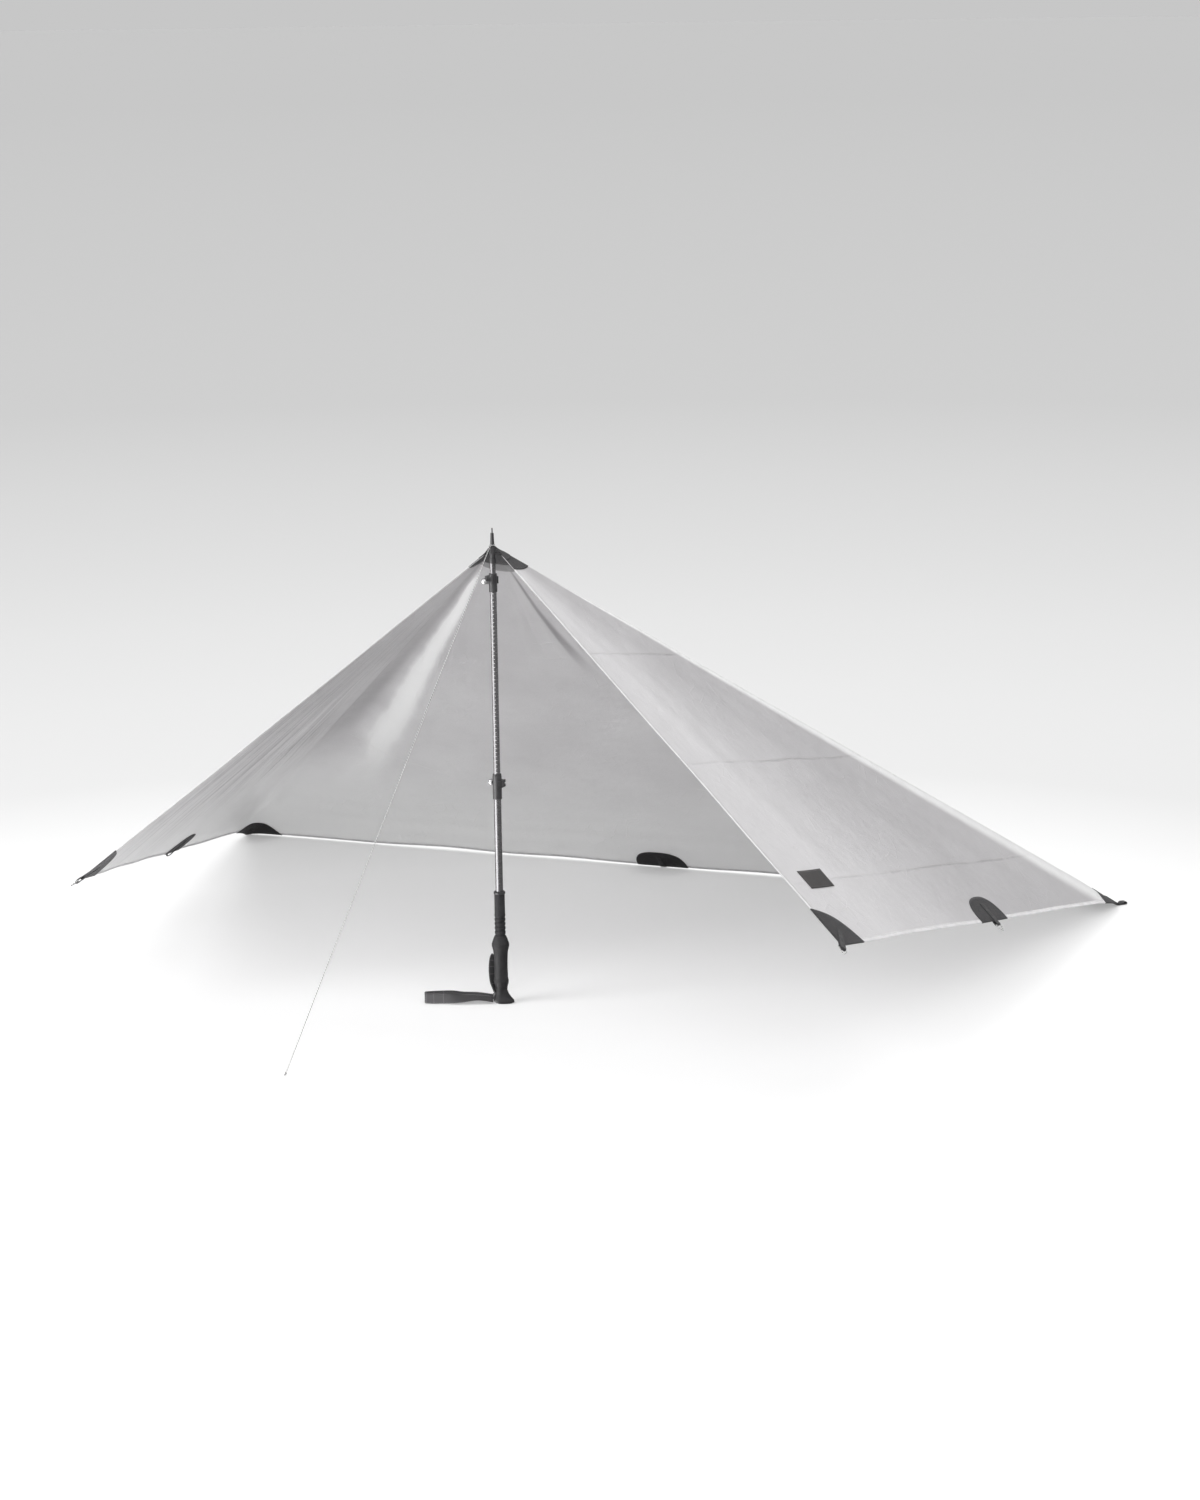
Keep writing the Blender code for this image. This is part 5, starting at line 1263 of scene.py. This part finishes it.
def loop_frame(u, v, outward):
    """At the hem: its place, the way out of the cloth, the width's and the face's direction."""
    inner = np.array([u, v]) * 0.999
    here = pitched(*inner)
    along = unit(pitched(*(inner + np.array(outward) * 0.004)) - here)
    face = pitched(*inner, 0.001) - here
    face = unit(face - along * face.dot(along))
    return here, along, np.cross(face, along), face


def tail_points(u, v, outward, level):
    """The tail's points on one face, from its end to the hem, with the direction of its width."""
    outward = np.array(outward, float)
    crosswise = np.array([outward[1], -outward[0]]) * 0.003
    points, across = [], []
    for s in np.linspace(-WEBBING_TAIL, -0.001, 12):
        flat = np.array([u, v]) + outward * s
        points.append(pitched(*flat, level))
        across.append(pitched(*(flat + crosswise), level) - pitched(*(flat - crosswise), level))
    return points, across


print("a strip has", STRIP_COLUMNS, "columns")

# %% The tie-out loops
NECK = 0.0015
GROUND_SHOULDER, FREE_SHOULDER, EYE_STEPS = 0.001, 0.0055, 8
LOOP_RADIUS = LOOP_EYE / 2 + WEBBING_THICKNESS / 2
UP = np.array([0.0, 0.0, 1.0])


def tie_out(name, node, u, v, outward, on_ground=False):
    mouth, way, _, up = loop_frame(u, v, outward)
    if on_ground:
        drop = mouth + way * NECK
        way, up = unit(way * (1, 1, 0)), UP
        mouth = drop * (1, 1, 0) + UP * (LOOP_RADIUS + WEBBING_THICKNESS / 2)
        mouth = mouth + way * (abs(drop[2]) + 0.004)
    shoulder = mouth + way * (GROUND_SHOULDER if on_ground else FREE_SHOULDER)
    eye = [shoulder + up * LOOP_RADIUS]
    for turn in np.linspace(0, math.pi, EYE_STEPS + 1):
        out = LOOP_LENGTH - LOOP_RADIUS + LOOP_RADIUS * math.sin(turn)
        eye.append(mouth + way * out + up * LOOP_RADIUS * math.cos(turn))
    eye.append(shoulder - up * LOOP_RADIUS)
    top, top_across = tail_points(u, v, outward, WEBBING_LEVEL)
    bottom, bottom_across = tail_points(u, v, outward, -WEBBING_LEVEL)
    eye_across = np.cross(up, way) * 0.006
    if np.dot(top_across[0], eye_across) < 0:
        eye_across = -eye_across
    points = smooth_path([*top, *eye, *bottom[::-1]], 3)
    widths = smooth_path([*top_across, *[eye_across] * len(eye), *bottom_across[::-1]], 3)
    points[:, 2] = np.maximum(points[:, 2], 0.5 * WEBBING_THICKNESS + 0.0005)
    piece = strip_piece(name, points, widths, WEBBING_WIDTH, WEBBING_THICKNESS)
    return stands_for(piece, node)


DIAGONAL = math.sqrt(0.5)
loops = [tie_out("tie_back", "tie_loop_back", 0.0, CLOTH_DEPTH, (0, 1), on_ground=True)]
for side, hand in ((-1, "left"), (1, "right")):
    edge = side * HALF_WIDTH
    for end, v, outward in (
        ("front", 0.0, (side * DIAGONAL, -DIAGONAL)),
        ("side", CLOTH_DEPTH / 2, (side, 0)),
        ("back", CLOTH_DEPTH, (side * math.sin(CORNER_ANGLE), math.cos(CORNER_ANGLE))),
    ):
        name = f"{end}_{hand}"
        loops.append(tie_out(f"tie_{name}", f"tie_loop_{name}", edge, v, outward, end == "back"))
print("tie-outs", [piece.name for piece in loops])

# %% [markdown]
# ## Short cord loops and the plain label
#
# Three tie-outs keep a short loop of the flecked cord. It goes straight across through the
# webbing's eye and comes to a point outside. Near the right front corner a small black cloth
# label is sewn on. It is left plain, with only its sewn border.

# %% Cord loops
CORD_LOOP_LENGTH = 0.020
# half of the loop's bulge outside the eye: how far along its length, and how wide
BULGE = ((0.11, 1.0), (0.22, 0.98), (0.45, 0.80), (0.70, 0.52), (0.90, 0.24))


def cord_loop(name, node, u, v, outward):
    here, along, across, _ = loop_frame(u, v, outward)
    seat = LOOP_LENGTH - WEBBING_THICKNESS / 2 - 2 * SEAT_GAP - CORD_DIAMETER / 2
    straight = WEBBING_WIDTH / 2 + CORD_DIAMETER / 2 + SEAT_GAP
    wide = straight + 1.1 * CORD_DIAMETER
    half = [(0.0, straight / 2), (0.0, straight), (0.036, straight + 0.7 * CORD_DIAMETER)]
    half += [(share, wide * width) for share, width in BULGE]
    shape = [(0.0, 0.0), *half, (1.0, 0.0), *[(x, -y) for x, y in reversed(half)]]
    points = [here + along * (seat + CORD_LOOP_LENGTH * x) + across * y for x, y in shape]
    closed = [points[-2], points[-1], *points, points[0], points[1]]
    piece = cord_piece(name, smooth_path(closed, 4)[8:-9], CORD_DIAMETER, closed=True)
    return stands_for(piece, node)


for name, side, v, outward in (
    ("front_left", -1, 0.0, (-DIAGONAL, -DIAGONAL)),
    ("front_right", 1, 0.0, (DIAGONAL, -DIAGONAL)),
    ("side_right", 1, CLOTH_DEPTH / 2, (1, 0)),
):
    piece = cord_loop(f"cord_{name}", f"cord_loop_{name}", side * HALF_WIDTH, v, outward)
    print("cord loop", piece.name)

# %% Label
LABEL_WIDTH, LABEL_LENGTH, LABEL_LEVEL = 0.055, 0.115, 0.0014
LABEL_FROM_SIDE, LABEL_FROM_FRONT = 0.168, 0.085
far = HALF_WIDTH - LABEL_FROM_SIDE
label_u = np.linspace(far - LABEL_WIDTH, far, 14)
label_v = np.linspace(LABEL_FROM_FRONT, LABEL_FROM_FRONT + LABEL_LENGTH, 26)
u, v = np.meshgrid(label_u, label_v)
from_edge = np.minimum.reduce([u - label_u[0], label_u[-1] - u, v - label_v[0], label_v[-1] - v])
places = np.stack([u, v, from_edge], -1)
label = grid_piece("sewn_label", pitched(u, v, LABEL_LEVEL), places, label_fabric, PATCH_THICKNESS)
stands_for(label, "blank_label")
print("label", label.name)

# %% [markdown]
# ## The pole's finishes
#
# The pole's tubes, clamps and tip keep their solids, which have the right shapes, and get
# finishes. The tubes are dark anodised alloy: a fine brushed grain round the tube, rubbed
# paler in long scuffs. The middle tube carries a scale, a pale tick every 10 mm. The clamps
# are matt black plastic with worn edges, the nuts, pins and bolts are bright steel.

# %% Alloy
TICK_PITCH = 0.010
TICK_ANGLE = math.atan2(-0.932, 0.362) - 0.12


def worn_by(nodes, place, amount):
    return nodes.group(scuffs, {"Place": place, "Amount": amount})["Mask"]


def alloy_finish(name, with_scale):
    material, nodes, shader = finish_of(name, 0.26, 0.90)
    place = nodes.object_place()
    brushed = nodes.vector("MULTIPLY", place, (60.0, 60.0, 3000.0)).noise(1.0, 2.0)
    wear = worn_by(nodes, place, 0.45)
    colour = nodes.blend(brushed.ramp(0.3, 0.7), (0.150, 0.147, 0.152), (0.200, 0.196, 0.202))
    colour = nodes.blend(wear, colour, (0.42, 0.415, 0.42))
    if with_scale:
        x, y, z = place.parts()
        beat = nodes.math("FRACT", z * (1 / TICK_PITCH))
        facing = nodes.math("ARCTAN2", y, x).band(TICK_ANGLE, 0.20, 0.24)
        tick = beat.band(0.5, 0.07, 0.11) * facing
        colour = nodes.blend(tick * 0.55, colour, (0.80, 0.80, 0.79))
        nodes.feed(shader["Metallic"], 0.75 - tick * 0.7)
    nodes.feed(shader["Base Color"], colour)
    nodes.feed(shader["Roughness"], brushed.ramp(0.2, 0.8, 0.20, 0.30))
    relief_on(nodes, shader, brushed + wear * -1.5, 0.00003)
    return material


anodised = alloy_finish("anodised_alloy", False)
anodised_scale = alloy_finish("anodised_alloy_scale", True)
print("alloys", anodised.name, anodised_scale.name)


# %% Plastic and rubber
def plastic_finish(name, dark, light, roughness, size, depth, shine=0.5):
    """Moulded plastic or rubber with a fine grain, scuffed paler."""
    material, nodes, shader = finish_of(name, roughness, Specular_IOR_Level=shine)
    place = nodes.object_place()
    fine = nodes.group(grain, {"Place": place, "Size": size})
    colour = nodes.blend(fine["Mask"], dark, light)
    colour = nodes.blend(worn_by(nodes, place, 0.5), colour, lighter(light, 2.4))
    nodes.feed(shader["Base Color"], colour)
    nodes.feed(shader["Roughness"], fine["Mask"].ramp(0.0, 1.0, roughness - 0.06, roughness + 0.08))
    relief_on(nodes, shader, fine["Height"], depth)
    return material


black_plastic = plastic_finish(
    "black_plastic", (0.026, 0.025, 0.027), (0.046, 0.045, 0.047), 0.42, 0.0012, 0.00005
)
grip_rubber = plastic_finish(
    "grip_rubber", (0.017, 0.0165, 0.0175), (0.031, 0.030, 0.0315), 0.58, 0.0016, 0.00018, 0.25
)
grip_foam = plastic_finish(
    "grip_foam", (0.020, 0.0195, 0.021), (0.038, 0.037, 0.039), 0.70, 0.0009, 0.00022, 0.25
)
print("plastics", black_plastic.name, grip_rubber.name, grip_foam.name)

# %% Steel and the hard tip
steel, nodes, shader = finish_of("bright_steel", 0.26, 1.0)
place = nodes.object_place()
cloud = place.noise(160.0, 3.0)
colour = nodes.blend(cloud.ramp(0.3, 0.7), (0.52, 0.52, 0.525), (0.66, 0.66, 0.665))
colour = nodes.blend(worn_by(nodes, place, 0.6), colour, (0.34, 0.34, 0.345))
nodes.feed(shader["Base Color"], colour)
nodes.feed(shader["Roughness"], cloud.ramp(0.2, 0.8, 0.20, 0.34))
relief_on(nodes, shader, cloud, 0.00003)

hard_tip, nodes, shader = finish_of("hard_tip", 0.45, 0.9)
cloud = nodes.object_place().noise(400.0, 3.0)
colour = nodes.blend(cloud.ramp(0.3, 0.7), (0.060, 0.059, 0.061), (0.11, 0.108, 0.112))
nodes.feed(shader["Base Color"], colour)
relief_on(nodes, shader, cloud, 0.00002)
print("metals", steel.name, hard_tip.name)

# %% Finishes on the solids
LOCKS = ("high_lock", "low_lock")
FINISHED_NODES = (
    (anodised, ("lower_shaft", "upper_shaft")),
    (anodised_scale, ("middle_shaft",)),
    (hard_tip, ("tip_insert",)),
    (grip_rubber, ("grip_handle", "grip_head")),
    (grip_foam, ("grip_extension",)),
    (black_plastic, ("lower_shaft_bush", "middle_shaft_bush")),
    (black_plastic, ("tip_ferrule", "grip_ring", "strap_wedge")),
    (black_plastic, [f"{lock}_{part}" for lock in LOCKS for part in ("collar", "lever")]),
    (steel, [f"{lock}_{part}" for lock in LOCKS for part in ("bolt", "pin", "nut")]),
)
for finish, names in FINISHED_NODES:
    for name in names:
        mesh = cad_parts[name].data
        mesh.materials.clear()
        mesh.materials.append(finish)
        for polygon in mesh.polygons:
            polygon.material_index = 0
print("finished nodes", sum(len(names) for _, names in FINISHED_NODES))

# %% [markdown]
# ## The wrist strap
#
# The strap is soft padded webbing. From the grip's head it runs out along the ground, turns
# over itself from nearly flat to upright, comes round in a narrow bend and back. Its far bend
# shows the paler lining. A shorter free end stands up behind the handle and folds over at the
# top. Both are strips like the webbing, wider and thicker, along a smooth curve.

# %% Wrist strap
STRAP_WIDTH, STRAP_THICKNESS, STRAP_REACH, TAIL_WIDTH = 0.026, 0.0018, 0.190, 0.020
STRAP_OUT, STRAP_SIDE = np.array([-0.944, -0.331, 0.0]), np.array([-0.331, 0.944, 0.0])
STRAP_START = 1.02 * 0.0200 + SEAT_GAP
BEND_LENGTH, BEND_HALF = 0.0055, 0.0062
LINING_FROM = 0.16


def lean(share):
    """The width's direction, from nearly flat at the grip to upright at the far end."""
    turn = math.radians(14 + 70 * rise(share, 0.30, 0.75))
    return UP * math.sin(turn) + STRAP_SIDE * math.cos(turn)


def strap_point(share, swing):
    arch = 0.0100 * hill(share, 0.24, 0.26)
    height = STRAP_WIDTH / 2 * lean(share)[2] + STRAP_THICKNESS + arch
    out = STRAP_START + (STRAP_REACH - STRAP_START) * share
    return STRAP_OUT * out + STRAP_SIDE * swing + UP * height


# how far out along the strap's reach, and how far to the side in metres
NEAR_RUN = (
    (0.0, -0.006), (0.22, -0.008), (0.45, -0.010), (0.68, -0.010), (0.86, -0.009),
    (0.96, -BEND_HALF),
)
FAR_RUN = (
    (0.96, BEND_HALF), (0.86, 0.009), (0.68, 0.010), (0.45, 0.0115), (0.22, 0.012), (0.0, 0.012)
)
points = [strap_point(*run) for run in NEAR_RUN]
bend_middle = points[-1] + STRAP_SIDE * BEND_HALF
for turn in np.radians((-50, 0, 50)):
    around = STRAP_OUT * BEND_LENGTH * math.cos(turn) + STRAP_SIDE * BEND_HALF * math.sin(turn)
    points.append(bend_middle + around)
points += [strap_point(*run) for run in FAR_RUN]
widths = [lean(share) for share, _ in (*NEAR_RUN, *[(1.0, 0.0)] * 3, *FAR_RUN)]
points, widths = smooth_path(points, 6), smooth_path(widths, 6)
strap = strip_piece("wrist_strap_webbing", points, widths, STRAP_WIDTH, STRAP_THICKNESS)
strap.data.materials.append(strap_lining)
for polygon in strap.data.polygons:
    at_bend = polygon.center.dot(Vector(STRAP_OUT)) > LINING_FROM
    if at_bend and polygon.normal.dot(Vector(STRAP_OUT)) < -0.3:
        polygon.material_index = 1
print("strap", strap.name)

# %% The strap's free end
# how far out and to the side of the pole's axis, the height, and the twist in degrees
TAIL_PATH = (
    (0.0173, 0.0010, 0.0272, 0), (0.0182, 0.0030, 0.0367, 12), (0.0205, 0.0085, 0.054, 36),
    (0.0215, 0.0140, 0.078, 50), (0.0205, 0.0165, 0.096, 52), (0.0180, 0.0190, 0.1085, 52),
    (0.0140, 0.0225, 0.1125, 52), (0.0105, 0.0262, 0.106, 52), (0.0085, 0.0285, 0.090, 52),
    (0.0085, 0.0290, 0.066, 52),
)
points, widths = [], []
for out, aside, height, twist in TAIL_PATH:
    from_axis = STRAP_OUT * out + STRAP_SIDE * aside
    points.append(from_axis + UP * height)
    around = np.cross(UP, unit(from_axis))
    if around.dot(STRAP_SIDE) < 0:
        around = -around
    turn = math.radians(twist)
    widths.append(around * math.cos(turn) - STRAP_OUT * math.sin(turn))
points, widths = smooth_path(points, 5), smooth_path(widths, 5)
tail = strip_piece("strap_free_end", points, widths, TAIL_WIDTH, STRAP_THICKNESS)
stands_for(strap, "wrist_strap", "handle_section")
stands_for(tail, "strap_tail", "handle_section")
print("free end", tail.name)

# %% [markdown]
# The dressed tarp has to stay inside the solid model's box, apart from a little that cloth
# may stand proud.
